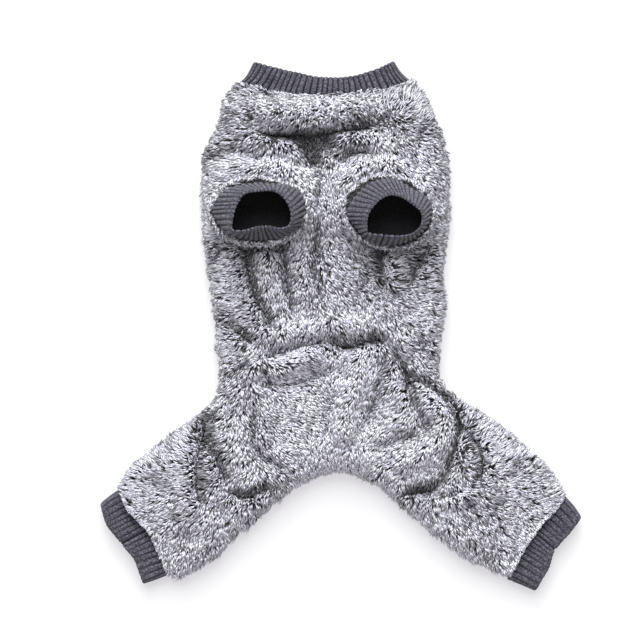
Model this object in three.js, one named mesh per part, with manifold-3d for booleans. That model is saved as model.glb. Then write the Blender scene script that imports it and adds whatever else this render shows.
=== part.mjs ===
// Dog pajamas of long-pile fleece with rib-knit bands, laid out on their back with the belly up.
// Millimetres. +Y runs from tail to neck, +X to the right seen from above, +Z up from the surface.
import * as THREE from "three";
import { mergeVertices } from "three/addons/utils/BufferGeometryUtils.js";
import Module from "manifold-3d";

// ---- cloth ----
const FLEECE_WALL = 5; // base cloth with the pile pressed down
const RIB_WALL = 3; // rib knit, folded double
const SEAM_GAP = 0.3; // between pieces at a seam
const EDGE_Z = 9; // height at which upper and lower panels meet at the sides
const BACK_ROUND = 9; // how far in from the edge the back panel still curves up
const TOP_ROUND = 1.1; // the same for the upper panels, as a share of their rise
const LOFT_Z = 25; // height of the upper panels away from edges and ends
const FOLD_SHARE = 0.8; // how much of the hollow's upper half a fold may take
const RIB_HALF = 6.5; // half height of a flattened rib band

// ---- torso: left and right edge of each cross row, and how far the row bows towards the neck ----
const TORSO = [
  { lx: -84, ly: 195.5, rx: 60, ry: 197.5, bow: -12 },
  { lx: -94, ly: 183, rx: 69, ry: 185, bow: -9 },
  { lx: -98, ly: 170, rx: 74, ry: 172, bow: -5 },
  { lx: -102, ly: 156, rx: 80, ry: 158, bow: -2 },
  { lx: -110, ly: 139, rx: 86, ry: 141, bow: 0 },
  { lx: -111.5, ly: 122, rx: 88, ry: 124, bow: 0 },
  { lx: -113, ly: 105, rx: 88, ry: 106, bow: 0 },
  { lx: -112, ly: 88, rx: 88, ry: 89, bow: 0 },
  { lx: -111, ly: 70, rx: 86, ry: 71, bow: 0 },
  { lx: -109, ly: 52, rx: 84, ry: 53, bow: 0 },
  { lx: -107, ly: 35, rx: 83.5, ry: 36, bow: 0 },
  { lx: -104, ly: 16, rx: 85.5, ry: 18, bow: 0 },
  { lx: -101.5, ly: -1, rx: 84, ry: 3, bow: 1 },
  { lx: -101, ly: -18, rx: 81.5, ry: -12, bow: 2 },
  { lx: -99.5, ly: -34, rx: 80, ry: -27, bow: 1 },
  { lx: -99.2, ly: -47, rx: 79.2, ry: -40, bow: 0 },
];
// From the hips the panels run straight down both hip seams to the arch between the legs.
const ARCH = { lx: -31.7, ly: -126.4, rx: 20.3, ry: -123.7, bow: 7.5 };
const HIP_ROW = TORSO.length - 1;
const HIND_ROWS = 5;
const LAST_ROW = HIP_ROW + HIND_ROWS;
const WAIST_ROW = 13;
const CHEST_SEAM = 0.485; // where the centre chest seam lies across a row

// ---- hind legs: outer and inner edge of each flattened section, hip seam first ----
const LEG_LEFT = [
  { ox: -99.2, oy: -47, ix: -31.7, iy: -126.4 },
  { ox: -103, oy: -58, ix: -43, iy: -135 },
  { ox: -113, oy: -69, ix: -55, iy: -145 },
  { ox: -127, oy: -80, ix: -67, iy: -156 },
  { ox: -142, oy: -92, ix: -81, iy: -169 },
  { ox: -157, oy: -103, ix: -97, iy: -185 },
  { ox: -168, oy: -112, ix: -112, iy: -196 },
  { ox: -175, oy: -121, ix: -127, iy: -203 },
  { ox: -178, oy: -131, ix: -139, iy: -200 },
];
const LEG_RIGHT = [
  { ox: 79.2, oy: -40, ix: 20.3, iy: -123.7 },
  { ox: 86, oy: -49, ix: 32, iy: -130 },
  { ox: 97, oy: -59, ix: 43, iy: -140 },
  { ox: 112, oy: -69, ix: 56, iy: -153 },
  { ox: 128, oy: -80, ix: 70, iy: -167 },
  { ox: 144, oy: -93, ix: 85, iy: -181 },
  { ox: 159, oy: -106, ix: 100, iy: -193 },
  { ox: 171, oy: -119, ix: 117, iy: -202 },
  { ox: 180.5, oy: -136, ix: 134, iy: -205 },
];

// ---- rib bands that lie flat: both ends of each section and its bow, fleece seam first ----
const NECK_BAND = [
  { ox: -82, oy: 195.8, ix: 58, iy: 197.8, bow: -12 },
  { ox: -78, oy: 202, ix: 53, iy: 204, bow: -12.5 },
  { ox: -73, oy: 208, ix: 47.5, iy: 209.5, bow: -13 },
  { ox: -69.6, oy: 212, ix: 43.2, iy: 212.5, bow: -13 },
];
const CUFF_LEFT = [
  { ox: -177.2, oy: -133.4, ix: -141.2, iy: -199.4, bow: 0 },
  { ox: -185, oy: -138, ix: -149, iy: -203, bow: 1 },
  { ox: -192.8, oy: -142.5, ix: -157.5, iy: -207, bow: 2 },
];
const CUFF_RIGHT = [
  { ox: 179.4, oy: -138.2, ix: 135.8, iy: -202.8, bow: 0 },
  { ox: 186.5, oy: -146, ix: 146, iy: -208, bow: 1 },
  { ox: 192.8, oy: -153.5, ix: 156, iy: -212.5, bow: 2 },
];

// ---- front sleeves: outline of each ring from the armhole up, half widths across, up and down ----
const SLEEVE_LEFT = [
  { z: 23, x: -66, y: 91, across: 36, up: 24.5, down: 24, tilt: 0 },
  { z: 31, x: -66, y: 91, across: 36, up: 24.5, down: 24, tilt: 0 },
  { z: 32.5, x: -66, y: 91, across: 39.5, up: 28, down: 27, tilt: 0 },
  { z: 35.5, x: -66, y: 91, across: 40.5, up: 28.5, down: 27.5, tilt: 0 },
  { z: 39, x: -65.5, y: 91, across: 39, up: 26.5, down: 25.5, tilt: 0 },
];
const RIB_LEFT = [
  { z: 39, x: -65.5, y: 91, across: 37, up: 24.5, down: 23.5, tilt: 0 },
  { z: 44, x: -65, y: 91, across: 34.5, up: 23.5, down: 20.5, tilt: 0 },
  { z: 50, x: -64, y: 90.5, across: 30, up: 21.5, down: 17.5, tilt: 0 },
  { z: 55, x: -63, y: 89.6, across: 25.4, up: 19.3, down: 14.2, tilt: 0 },
];
const SLEEVE_RIGHT = [
  { z: 23, x: 37.5, y: 91, across: 33, up: 25.5, down: 26.5, tilt: -10 },
  { z: 31, x: 37.5, y: 91, across: 33, up: 25.5, down: 26.5, tilt: -10 },
  { z: 32.5, x: 38, y: 91, across: 36.5, up: 29, down: 29.5, tilt: -10 },
  { z: 35.5, x: 38, y: 91, across: 37.5, up: 30, down: 30, tilt: -10 },
  { z: 39, x: 38, y: 90.4, across: 36, up: 28.5, down: 28.5, tilt: -12 },
];
const RIB_RIGHT = [
  { z: 39, x: 38, y: 90.4, across: 34, up: 26.5, down: 26.5, tilt: -12 },
  { z: 44, x: 39, y: 89.6, across: 32, up: 25.5, down: 24.5, tilt: -15 },
  { z: 50, x: 40.5, y: 88.2, across: 28, up: 22, down: 20.5, tilt: -20 },
  { z: 55, x: 42, y: 86.4, across: 24, up: 17.5, down: 16.6, tilt: -22 },
];
const HOLE_ROOM = SEAM_GAP; // armhole edge to sleeve
const HOLE_TOP = 60;
const MOUND_LIFT = 5; // the belly rises to meet a sleeve
const MOUND_REACH = 15;

// ---- ends where the cloth thins down to meet a rib band: the seam line and the height there ----
const MOUTHS = [
  { ax: -84, ay: 190, bx: 60, by: 192, height: 18, reach: 34 },
  { ax: -178, ay: -131, bx: -139, by: -200, height: 18, reach: 60 },
  { ax: 180.5, ay: -136, bx: 134, by: -205, height: 18, reach: 60 },
];

// ---- largest folds: a line through three points, half width, and lift (down is negative) ----
const FOLDS = [
  { name: "roll under the neck", ax: -64, ay: 173, bx: -20, by: 170, cx: 22, cy: 174, half: 9, lift: 4 },
  { name: "fold under the neck", ax: -60, ay: 156, bx: -28, by: 149, cx: 14, cy: 158, half: 8, lift: -13 },
  { name: "chest notch", ax: -33, ay: 156, bx: -27, by: 141, cx: -22, cy: 126, half: 8, lift: -6 },
  { name: "left shoulder fold", ax: -101, ay: 133, bx: -80, by: 140, cx: -49, cy: 134, half: 8, lift: -5.5 },
  { name: "right shoulder fold", ax: -5, ay: 134, bx: 15, by: 141, cx: 50, cy: 137, half: 8, lift: -5 },
  { name: "chest seam valley", ax: -17, ay: 100, bx: -17, by: 70, cx: -15, cy: 20, half: 7, lift: -4 },
  { name: "left belly fold", ax: -77, ay: 60, bx: -73, by: 38, cx: -56, cy: 6, half: 8, lift: -6 },
  { name: "left belly crease", ax: -46, ay: 60, bx: -44, by: 42, cx: -42, cy: 24, half: 6, lift: -3.5 },
  { name: "right belly fold", ax: 64, ay: 57, bx: 52, by: 34, cx: 46, cy: 18, half: 8, lift: -5.5 },
  { name: "right belly crease", ax: 30, ay: 57, bx: 30, by: 46, cx: 29, cy: 34, half: 6, lift: -3.5 },
  { name: "roll above the waist", ax: -66, ay: -6, bx: -16, by: -2, cx: 32, cy: 2, half: 9, lift: 3.5 },
  { name: "waist fold, left", ax: -93, ay: 9, bx: -80, by: -7, cx: -40, cy: -20, half: 8, lift: -5.5 },
  { name: "waist fold, right", ax: 2, ay: -17, bx: 20, by: -12, cx: 36, cy: -12, half: 8, lift: -7 },
  { name: "left hip crease", ax: -90, ay: -40, bx: -80, by: -32, cx: -66, cy: -36, half: 7, lift: -3.5 },
  { name: "right hip fold", ax: 44, ay: -20, bx: 68, by: -45, cx: 90, cy: -68, half: 9, lift: -9 },
  { name: "right thigh fold", ax: 90, ay: -68, bx: 97, by: -85, cx: 87, cy: -118, half: 9, lift: -7 },
  { name: "right thigh roll", ax: 62, ay: -58, bx: 78, by: -78, cx: 76, cy: -100, half: 10, lift: 4.5 },
  { name: "tail ridge", ax: 26, ay: -29, bx: 12, by: -58, cx: 2, cy: -88, half: 9, lift: 4.5 },
  { name: "beside the tail ridge", ax: 24, ay: -60, bx: 17, by: -74, cx: 10, cy: -86, half: 7, lift: -4 },
  { name: "left thigh fold", ax: -104, ay: -72, bx: -107, by: -86, cx: -94, cy: -118, half: 8, lift: -6 },
  { name: "left leg crease", ax: -116, ay: -119, bx: -114, by: -130, cx: -108, cy: -140, half: 7, lift: -5 },
  { name: "left seat fold", ax: -73, ay: -68, bx: -68, by: -96, cx: -41, cy: -118, half: 8, lift: -6 },
  { name: "left arch fold", ax: -82, ay: -134, bx: -72, by: -132, cx: -57, cy: -125, half: 8, lift: -6.5 },
  { name: "right arch fold", ax: 52, ay: -125, bx: 64, by: -131, cx: 79, cy: -123, half: 8, lift: -6 },
];

// ---- places sampled along rows and round flattened tubes, closer together where the cloth turns ----
const BACK_ACROSS = [0, 0.008, 0.03, 0.065, 0.12, 0.22, 0.35, 0.5, 0.65, 0.78, 0.88, 0.935, 0.97, 0.992, 1];
const LEFT_ACROSS = [0, 0.008, 0.03, 0.065, 0.12, 0.17, 0.22, 0.27, 0.32, 0.37, 0.43, CHEST_SEAM];
const RIGHT_ACROSS = [CHEST_SEAM, 0.54, 0.6, 0.66, 0.72, 0.78, 0.83, 0.88, 0.935, 0.97, 0.992, 1];
const HIND_ACROSS = [0, 0.03, 0.08, 0.15, 0.22, 0.3, 0.38, 0.46, 0.54, 0.62, 0.7, 0.78, 0.85, 0.92, 0.97, 1];
const TUBE_TOP = [0, 0.015, 0.06, 0.13, 0.23, 0.34, 0.45, 0.55, 0.66, 0.77, 0.87, 0.94, 0.985, 1];
const TUBE_UNDER = [0.985, 0.94, 0.84, 0.67, 0.5, 0.33, 0.16, 0.06, 0.015];
const BAND_TOP = [0, 0.012, 0.045, 0.1, 0.25, 0.4, 0.5, 0.6, 0.75, 0.9, 0.955, 0.988, 1];
const BAND_UNDER = [0.988, 0.955, 0.88, 0.7, 0.5, 0.3, 0.12, 0.045, 0.012];
const RING_STEPS = 24;

const COLOURS = { fleece: 0xaeb0ba, rib_knit: 0x56565f };
const UP = new THREE.Vector3(0, 0, 1);

// A smooth value between the rows of a table, for each of its columns.
function between(table, place) {
  const start = Math.min(Math.floor(place), table.length - 2);
  const t = place - start;
  const row = (i) => table[Math.max(0, Math.min(table.length - 1, i))];
  const out = {};
  for (const key of Object.keys(table[0])) {
    const [a, b, c, d] = [-1, 0, 1, 2].map((step) => row(start + step)[key]);
    const slopes = (c - a + (2 * a - 5 * b + 4 * c - d) * t + (3 * b - a - 3 * c + d) * t * t) * t;
    out[key] = b + slopes / 2;
  }
  return out;
}

const mix = (a, b, t) => a + (b - a) * t;
const rowEnds = (row) => [new THREE.Vector2(row.ox, row.oy), new THREE.Vector2(row.ix, row.iy)];

// The torso's cross row at a place: table rows down to the hips, then straight to the arch.
function torsoRow(place) {
  if (place <= HIP_ROW) return between(TORSO, place);
  const t = (place - HIP_ROW) / HIND_ROWS;
  const hips = TORSO[HIP_ROW];
  const row = { bow: ARCH.bow * t * t };
  for (const key of ["lx", "ly", "rx", "ry"]) row[key] = mix(hips[key], ARCH[key], t);
  return row;
}

function torsoPoint(place, across) {
  const row = torsoRow(place);
  const bow = row.bow * 4 * across * (1 - across);
  return new THREE.Vector2(mix(row.lx, row.rx, across), mix(row.ly, row.ry, across) + bow);
}

// The free edges of the fleece in plan: both sides, and the arch with the inner leg edges.
function freeEdges() {
  const places = (last) => Array.from({ length: last * 2 + 1 }, (_, i) => i / 2);
  const side = (across) => places(HIP_ROW).map((place) => torsoPoint(place, across));
  const arch = [0, 0.25, 0.5, 0.75, 1].map((across) => torsoPoint(LAST_ROW, across));
  const ends = (table, i) => table.map((row) => rowEnds(row)[i]);
  return [
    [...side(0), ...ends(LEG_LEFT, 0)],
    [...side(1), ...ends(LEG_RIGHT, 0)],
    [...ends(LEG_LEFT, 1).reverse(), ...arch, ...ends(LEG_RIGHT, 1)],
  ];
}

function distanceToLine(x, y, ax, ay, bx, by) {
  const [dx, dy] = [bx - ax, by - ay];
  const length = dx * dx + dy * dy;
  const t = length ? Math.max(0, Math.min(1, ((x - ax) * dx + (y - ay) * dy) / length)) : 0;
  return Math.hypot(x - ax - t * dx, y - ay - t * dy);
}

const EDGES = freeEdges();
function edgeDistance(x, y) {
  let nearest = Infinity;
  for (const chain of EDGES) {
    for (let i = 1; i < chain.length; i++) {
      const [a, b] = [chain[i - 1], chain[i]];
      nearest = Math.min(nearest, distanceToLine(x, y, a.x, a.y, b.x, b.y));
    }
  }
  return nearest < 1e-6 ? 0 : nearest;
}

const quarterRound = (t) => (t >= 1 ? 1 : Math.sqrt(1 - (1 - t) * (1 - t)));
const easeDown = (t) => (t >= 1 ? 0 : (1 - t) * (1 - t) * (1 + 2 * t));

// Loft of the upper panels, lower towards the neck and the leg ends.
function loft(x, y) {
  let height = LOFT_Z;
  for (const m of MOUTHS) {
    const away = distanceToLine(x, y, m.ax, m.ay, m.bx, m.by);
    height -= (LOFT_Z - m.height) * easeDown(away / m.reach);
  }
  return height;
}

// How far outside a sleeve's base a point lies.
function fromSleeve(x, y, base) {
  const [across, along] = [(x - base.x) / base.across, (y - base.y) / base.up];
  return Math.max(0, Math.hypot(across, along) - 1) * base.up;
}

function foldLift(x, y) {
  let lift = 0;
  for (const [base] of [SLEEVE_LEFT, SLEEVE_RIGHT]) {
    lift += MOUND_LIFT * Math.exp(-((fromSleeve(x, y, base) / MOUND_REACH) ** 2));
  }
  for (const f of FOLDS) {
    const first = distanceToLine(x, y, f.ax, f.ay, f.bx, f.by);
    const second = distanceToLine(x, y, f.bx, f.by, f.cx, f.cy);
    lift += f.lift * Math.exp(-((Math.min(first, second) / f.half) ** 2));
  }
  return lift;
}

function topHeight(x, y) {
  const flat = loft(x, y);
  const turned = quarterRound(edgeDistance(x, y) / ((flat - EDGE_Z) * TOP_ROUND));
  const deepest = (flat - EDGE_Z - FLEECE_WALL) * FOLD_SHARE;
  const lift = foldLift(x, y);
  const folded = lift < 0 ? deepest * Math.tanh(lift / deepest) : lift;
  return EDGE_Z + (flat - EDGE_Z + folded * turned) * turned;
}

function underHeight(x, y) {
  return EDGE_Z * (1 - quarterRound(edgeDistance(x, y) / BACK_ROUND));
}

// ---- closed walls from an outer and an inner surface ----
class Wall {
  constructor() {
    this.points = [];
    this.faces = [];
  }
  add(point) {
    this.points.push(point.x, point.y, point.z);
    return this.points.length / 3 - 1;
  }
  quad(a, b, c, d) {
    this.faces.push(a, b, c, a, c, d);
  }
  geometry() {
    const made = new THREE.BufferGeometry();
    made.setAttribute("position", new THREE.Float32BufferAttribute(this.points, 3));
    made.setIndex(signedVolume(this.points, this.faces) < 0 ? this.faces.reverse() : this.faces);
    made.computeVertexNormals();
    return made;
  }
}

function signedVolume(points, faces) {
  const at = (i) => new THREE.Vector3().fromArray(points, faces[i] * 3);
  let total = 0;
  for (let i = 0; i < faces.length; i += 3) total += at(i).dot(at(i + 1).cross(at(i + 2)));
  return total;
}

// A sheet: grids of outer and inner points, joined round the rim.
function sheetGeometry(outer, inner) {
  const wall = new Wall();
  const out = outer.map((row) => row.map((p) => wall.add(p)));
  const back = inner.map((row) => row.map((p) => wall.add(p)));
  const [rows, columns] = [out.length, out[0].length];
  for (let i = 1; i < rows; i++) {
    for (let j = 1; j < columns; j++) {
      wall.quad(out[i - 1][j - 1], out[i][j - 1], out[i][j], out[i - 1][j]);
      wall.quad(back[i - 1][j], back[i][j], back[i][j - 1], back[i - 1][j - 1]);
    }
    wall.quad(out[i][0], out[i - 1][0], back[i - 1][0], back[i][0]);
    wall.quad(out[i - 1][columns - 1], out[i][columns - 1], back[i][columns - 1], back[i - 1][columns - 1]);
  }
  for (let j = 1; j < columns; j++) {
    wall.quad(out[0][j - 1], out[0][j], back[0][j], back[0][j - 1]);
    wall.quad(out[rows - 1][j], out[rows - 1][j - 1], back[rows - 1][j - 1], back[rows - 1][j]);
  }
  return wall.geometry();
}

// A tube: outer and inner rings, joined at both ends.
function tubeGeometry(outer, inner) {
  const wall = new Wall();
  const out = outer.map((ring) => ring.map((p) => wall.add(p)));
  const back = inner.map((ring) => ring.map((p) => wall.add(p)));
  const [rings, steps] = [out.length, out[0].length];
  for (let j = 0; j < steps; j++) {
    const k = (j + 1) % steps;
    for (let i = 1; i < rings; i++) {
      wall.quad(out[i - 1][j], out[i - 1][k], out[i][k], out[i][j]);
      wall.quad(back[i][j], back[i][k], back[i - 1][k], back[i - 1][j]);
    }
    wall.quad(out[0][k], out[0][j], back[0][j], back[0][k]);
    wall.quad(out[rings - 1][j], out[rings - 1][k], back[rings - 1][k], back[rings - 1][j]);
  }
  return wall.geometry();
}

// ---- torso panels ----
const rowsBetween = (first, last, step) => {
  const count = Math.round((last - first) / step);
  return Array.from({ length: count + 1 }, (_, i) => first + i * step);
};

// Between the hip seams there is no side edge to round, so the columns spread out evenly there.
const pastHips = (place) => Math.max(0, (place - HIP_ROW) / HIND_ROWS);

// Outer and inner points of a panel. At a cut edge the wall is square to the seam, so that it stays
// on its own side of it.
function torsoPanel({ rows, across, height, side, cutLeft, cutRight, cutFirst, cutLast }) {
  const outer = rows.map((place) =>
    across.map((f, j) => {
      const p = torsoPoint(place, mix(f, j / (across.length - 1), pastHips(place)));
      return new THREE.Vector3(p.x, p.y, height(p.x, p.y));
    }),
  );
  const held = (i, count) => Math.max(0, Math.min(count - 1, i));
  const at = (i, j) => outer[held(i, rows.length)][held(j, across.length)];
  const inner = outer.map((row, i) =>
    row.map((point, j) => {
      const along = at(i + 1, j).clone().sub(at(i - 1, j));
      const over = at(i, j + 1).clone().sub(at(i, j - 1));
      const normal = over.clone().cross(along).normalize();
      if (normal.z * side < 0) normal.negate();
      const cutRow = (i === 0 && cutFirst) || (i === rows.length - 1 && cutLast);
      const cutColumn = (j === 0 && cutLeft(rows[i])) || (j === across.length - 1 && cutRight(rows[i]));
      if (cutRow && cutColumn) normal.set(0, 0, side);
      else if (cutRow) keepInPlane(normal, over);
      else if (cutColumn) keepInPlane(normal, along);
      const inside = point.clone().addScaledVector(normal, -FLEECE_WALL);
      const limit = EDGE_Z + (side * SEAM_GAP) / 2;
      inside.z = side > 0 ? Math.max(inside.z, limit) : Math.min(inside.z, limit);
      return inside;
    }),
  );
  for (const grid of [outer, inner]) {
    grid.forEach((row, i) => {
      const last = row.length - 1;
      if (i === 0 && cutFirst) row.forEach((p) => (p.y -= SEAM_GAP / 2));
      if (i === rows.length - 1 && cutLast) row.forEach((p) => (p.y += SEAM_GAP / 2));
      if (cutLeft(rows[i])) row[0].x += SEAM_GAP / 2;
      if (cutRight(rows[i])) row[last].x -= SEAM_GAP / 2;
      row.forEach((p) => {
        const limit = EDGE_Z + (side * SEAM_GAP) / 2;
        p.z = side > 0 ? Math.max(p.z, limit) : Math.min(p.z, limit);
      });
    });
  }
  return sheetGeometry(outer, inner);
}

// Turns a normal into the upright plane that holds a seam's direction.
function keepInPlane(normal, seam) {
  const across = new THREE.Vector3(seam.y, -seam.x, 0).normalize();
  normal.addScaledVector(across, -normal.dot(across)).normalize();
}

const never = () => false;
const always = () => true;
const onHip = (place) => place > HIP_ROW;

function backPanel() {
  return torsoPanel({
    rows: rowsBetween(0, LAST_ROW, 1),
    across: BACK_ACROSS,
    height: underHeight,
    side: -1,
    cutLeft: onHip,
    cutRight: onHip,
    cutFirst: true,
    cutLast: false,
  });
}

function bellyPanel(across, isLeft) {
  return torsoPanel({
    rows: rowsBetween(0, WAIST_ROW, 0.5),
    across,
    height: topHeight,
    side: 1,
    cutLeft: isLeft ? never : always,
    cutRight: isLeft ? always : never,
    cutFirst: true,
    cutLast: true,
  });
}

function hindPanel() {
  return torsoPanel({
    rows: rowsBetween(WAIST_ROW, LAST_ROW, 0.5),
    across: HIND_ACROSS,
    height: topHeight,
    side: 1,
    cutLeft: onHip,
    cutRight: onHip,
    cutFirst: true,
    cutLast: false,
  });
}

// ---- flattened tubes: legs and rib bands ----
// A ring round a flattened tube, from its outer edge over the top and back underneath.
function flatRing(row, top, under, heights) {
  const [a, b] = rowEnds(row);
  const place = (f, height) => {
    const x = mix(a.x, b.x, f);
    const y = mix(a.y, b.y, f) + (row.bow ?? 0) * 4 * f * (1 - f);
    return new THREE.Vector3(x, y, height(x, y, f));
  };
  return [...top.map((f) => place(f, heights.top)), ...under.map((f) => place(f, heights.under))];
}

// The same ring moved in by the wall, within its own upright plane.
function ringInside(ring, wall, edgeToEdge) {
  const axis = ring[edgeToEdge].clone().sub(ring[0]).setZ(0).normalize();
  return ring.map((point, i) => {
    const line = ring[(i + 1) % ring.length].clone().sub(ring[(i + ring.length - 1) % ring.length]);
    const inward = axis.clone().multiplyScalar(line.z).addScaledVector(UP, -line.dot(axis));
    return point.clone().addScaledVector(inward.normalize(), wall);
  });
}

function hindLeg(table) {
  const heights = { top: topHeight, under: underHeight };
  const outer = table.map((row) => flatRing(row, TUBE_TOP, TUBE_UNDER, heights));
  const along = new THREE.Vector3(table[1].ox - table[0].ox, table[1].oy - table[0].oy, 0);
  outer[0].forEach((p) => p.addScaledVector(along, SEAM_GAP / along.length()));
  const inner = outer.map((ring) => ringInside(ring, FLEECE_WALL, TUBE_TOP.length - 1));
  return tubeGeometry(outer, inner);
}

function flatBand(table) {
  const outer = table.map((row) => {
    const [a, b] = rowEnds(row);
    const width = a.distanceTo(b);
    const rise = (f) => RIB_HALF * quarterRound((Math.min(f, 1 - f) * width) / RIB_HALF);
    const heights = { top: (x, y, f) => EDGE_Z + rise(f), under: (x, y, f) => EDGE_Z - rise(f) };
    return flatRing(row, BAND_TOP, BAND_UNDER, heights);
  });
  return tubeGeometry(outer, outer.map((ring) => ringInside(ring, RIB_WALL, BAND_TOP.length - 1)));
}

// ---- front sleeves and their cuffs ----
function ringPoint(row, angle, wall) {
  const half = Math.sin(angle) > 0 ? row.up : row.down;
  const x = (row.across - wall) * Math.cos(angle);
  const y = (half - wall) * Math.sin(angle);
  const turn = THREE.MathUtils.degToRad(row.tilt);
  const level = new THREE.Vector2(x, y).rotateAround(new THREE.Vector2(), turn);
  return new THREE.Vector3(row.x + level.x, row.y + level.y, row.z);
}

function uprightTube(table, wall, lift) {
  const angles = Array.from({ length: RING_STEPS }, (_, i) => (i / RING_STEPS) * Math.PI * 2);
  const rings = (inset) => table.map((row) => angles.map((angle) => ringPoint(row, angle, inset)));
  const made = tubeGeometry(rings(0), rings(wall));
  return made.translate(0, 0, lift);
}

// ---- armholes, cut with a boolean ----
const wasm = await Module();
wasm.setup();

function toManifold(geometry) {
  const positions = new Float32Array(geometry.getAttribute("position").array);
  const triangles = new Uint32Array(geometry.getIndex().array);
  const mesh = new wasm.Mesh({ numProp: 3, vertProperties: positions, triVerts: triangles });
  return new wasm.Manifold(mesh);
}

function fromManifold(solid) {
  const mesh = solid.getMesh();
  const made = new THREE.BufferGeometry();
  made.setAttribute("position", new THREE.Float32BufferAttribute(Array.from(mesh.vertProperties), 3));
  made.setIndex(Array.from(mesh.triVerts));
  made.computeVertexNormals();
  return made;
}

function withArmhole(panel, sleeve) {
  const outline = new THREE.Shape();
  for (let i = 0; i < RING_STEPS; i++) {
    const point = ringPoint(sleeve[0], (i / RING_STEPS) * Math.PI * 2, -HOLE_ROOM);
    if (i === 0) outline.moveTo(point.x, point.y);
    else outline.lineTo(point.x, point.y);
  }
  const cutter = new THREE.ExtrudeGeometry(outline, { depth: HOLE_TOP, bevelEnabled: false });
  const plain = new THREE.BufferGeometry();
  plain.setAttribute("position", cutter.getAttribute("position"));
  return fromManifold(toManifold(panel).subtract(toManifold(mergeVertices(plain))));
}

const pajamas = new THREE.Group();
pajamas.name = "dog_pajamas";

function sew(name, cloth, geometry) {
  const material = new THREE.MeshStandardMaterial({ color: COLOURS[cloth], roughness: 0.95, metalness: 0 });
  material.name = cloth;
  const mesh = new THREE.Mesh(geometry, material);
  mesh.name = name;
  pajamas.add(mesh);
}

sew("back_panel", "fleece", backPanel());
sew("belly_left", "fleece", withArmhole(bellyPanel(LEFT_ACROSS, true), SLEEVE_LEFT));
sew("belly_right", "fleece", withArmhole(bellyPanel(RIGHT_ACROSS, false), SLEEVE_RIGHT));
sew("hind_panel", "fleece", hindPanel());
sew("leg_left", "fleece", hindLeg(LEG_LEFT));
sew("leg_right", "fleece", hindLeg(LEG_RIGHT));
sew("sleeve_left", "fleece", uprightTube(SLEEVE_LEFT, FLEECE_WALL, 0));
sew("sleeve_right", "fleece", uprightTube(SLEEVE_RIGHT, FLEECE_WALL, 0));
sew("neck_band", "rib_knit", flatBand(NECK_BAND));
sew("sleeve_cuff_left", "rib_knit", uprightTube(RIB_LEFT, RIB_WALL, SEAM_GAP));
sew("sleeve_cuff_right", "rib_knit", uprightTube(RIB_RIGHT, RIB_WALL, SEAM_GAP));
sew("leg_cuff_left", "rib_knit", flatBand(CUFF_LEFT));
sew("leg_cuff_right", "rib_knit", flatBand(CUFF_RIGHT));

export default pajamas;
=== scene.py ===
# %% [markdown]
# # Dog pajamas of long-pile fleece, laid out with the belly up
# The garment is a soft body with two flattened hind legs, two short front sleeves that point up,
# and rib-knit bands at the neck and at all four cuffs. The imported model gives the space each
# piece fills. Every cloth is made again here as a thin shell on that form, with its folds, and
# then the fleece gets a real pile of small locks and the bands get real ribs.

# %% Load the frame
import bpy, math
import numpy as np
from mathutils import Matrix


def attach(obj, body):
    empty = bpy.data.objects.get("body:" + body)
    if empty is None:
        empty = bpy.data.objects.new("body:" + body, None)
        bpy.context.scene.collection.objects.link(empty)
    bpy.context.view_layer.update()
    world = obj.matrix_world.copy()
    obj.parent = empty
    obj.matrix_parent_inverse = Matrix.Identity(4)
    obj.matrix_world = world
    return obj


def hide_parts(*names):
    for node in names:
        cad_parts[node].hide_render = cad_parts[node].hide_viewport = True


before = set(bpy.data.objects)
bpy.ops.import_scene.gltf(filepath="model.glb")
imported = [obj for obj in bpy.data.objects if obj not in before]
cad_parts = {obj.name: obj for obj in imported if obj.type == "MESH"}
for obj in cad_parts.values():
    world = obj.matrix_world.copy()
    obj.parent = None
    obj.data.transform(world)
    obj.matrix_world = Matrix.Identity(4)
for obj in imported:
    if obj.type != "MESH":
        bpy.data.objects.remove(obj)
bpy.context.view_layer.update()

MM = 0.001

# %% [markdown]
# ## The pattern
# A maker starts from a paper pattern. These tables are that pattern as it lies on the floor: cross
# rows of the body from neck to hips, the arch between the legs, and both flattened legs. They keep
# to the rows of the CAD model, and only the lower lines of the legs are drawn in, by up to 5 mm. All
# of them are in millimetres, and a piece is only turned into metres when its mesh is made.

# %% Pattern tables
TORSO = np.array([  # left x, left y, right x, right y, bow towards the neck
    (-84, 195.5, 60, 197.5, -12), (-94, 183, 69, 185, -9), (-98, 170, 74, 172, -5),
    (-102, 156, 80, 158, -2), (-110, 139, 86, 141, 0), (-111.5, 122, 88, 124, 0),
    (-113, 105, 88, 106, 0), (-112, 88, 88, 89, 0), (-111, 70, 86, 71, 0), (-109, 52, 84, 53, 0),
    (-107, 35, 83.5, 36, 0), (-104, 16, 85.5, 18, 0), (-101.5, -1, 84, 3, 1),
    (-101, -18, 81.5, -12, 2), (-99.5, -34, 80, -27, 1), (-99.2, -47, 79.2, -40, 0)], float)
ARCH = np.array((-31.7, -126.4, 20.3, -123.7, 7.5))  # the last cross row, between the legs
HIP_ROW, HIND_ROWS, WAIST_ROW = 15, 5, 13
LAST_ROW = HIP_ROW + HIND_ROWS
CHEST_SEAM = 0.485  # where the centre seam of the chest lies across a row
LEG_LEFT = np.array([  # outer x, outer y, inner x, inner y
    (-99.2, -47, -31.7, -126.4), (-103, -58, -43, -135), (-113, -69, -55, -145),
    (-127, -80, -67, -156), (-142, -92, -81, -169), (-157, -103, -96.5, -184),
    (-168, -112, -111, -194), (-175, -121, -126, -202), (-178, -131, -139, -200)], float)
LEG_RIGHT = np.array([
    (79.2, -40, 20.3, -123.7), (86, -49, 32, -130), (97, -59, 43, -140), (112, -69, 56, -152),
    (128, -80, 70.5, -165.5), (144, -93, 86.5, -178), (159, -106, 101.5, -189),
    (171, -119, 118, -197.5), (180.5, -136, 134, -203.5)], float)
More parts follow.
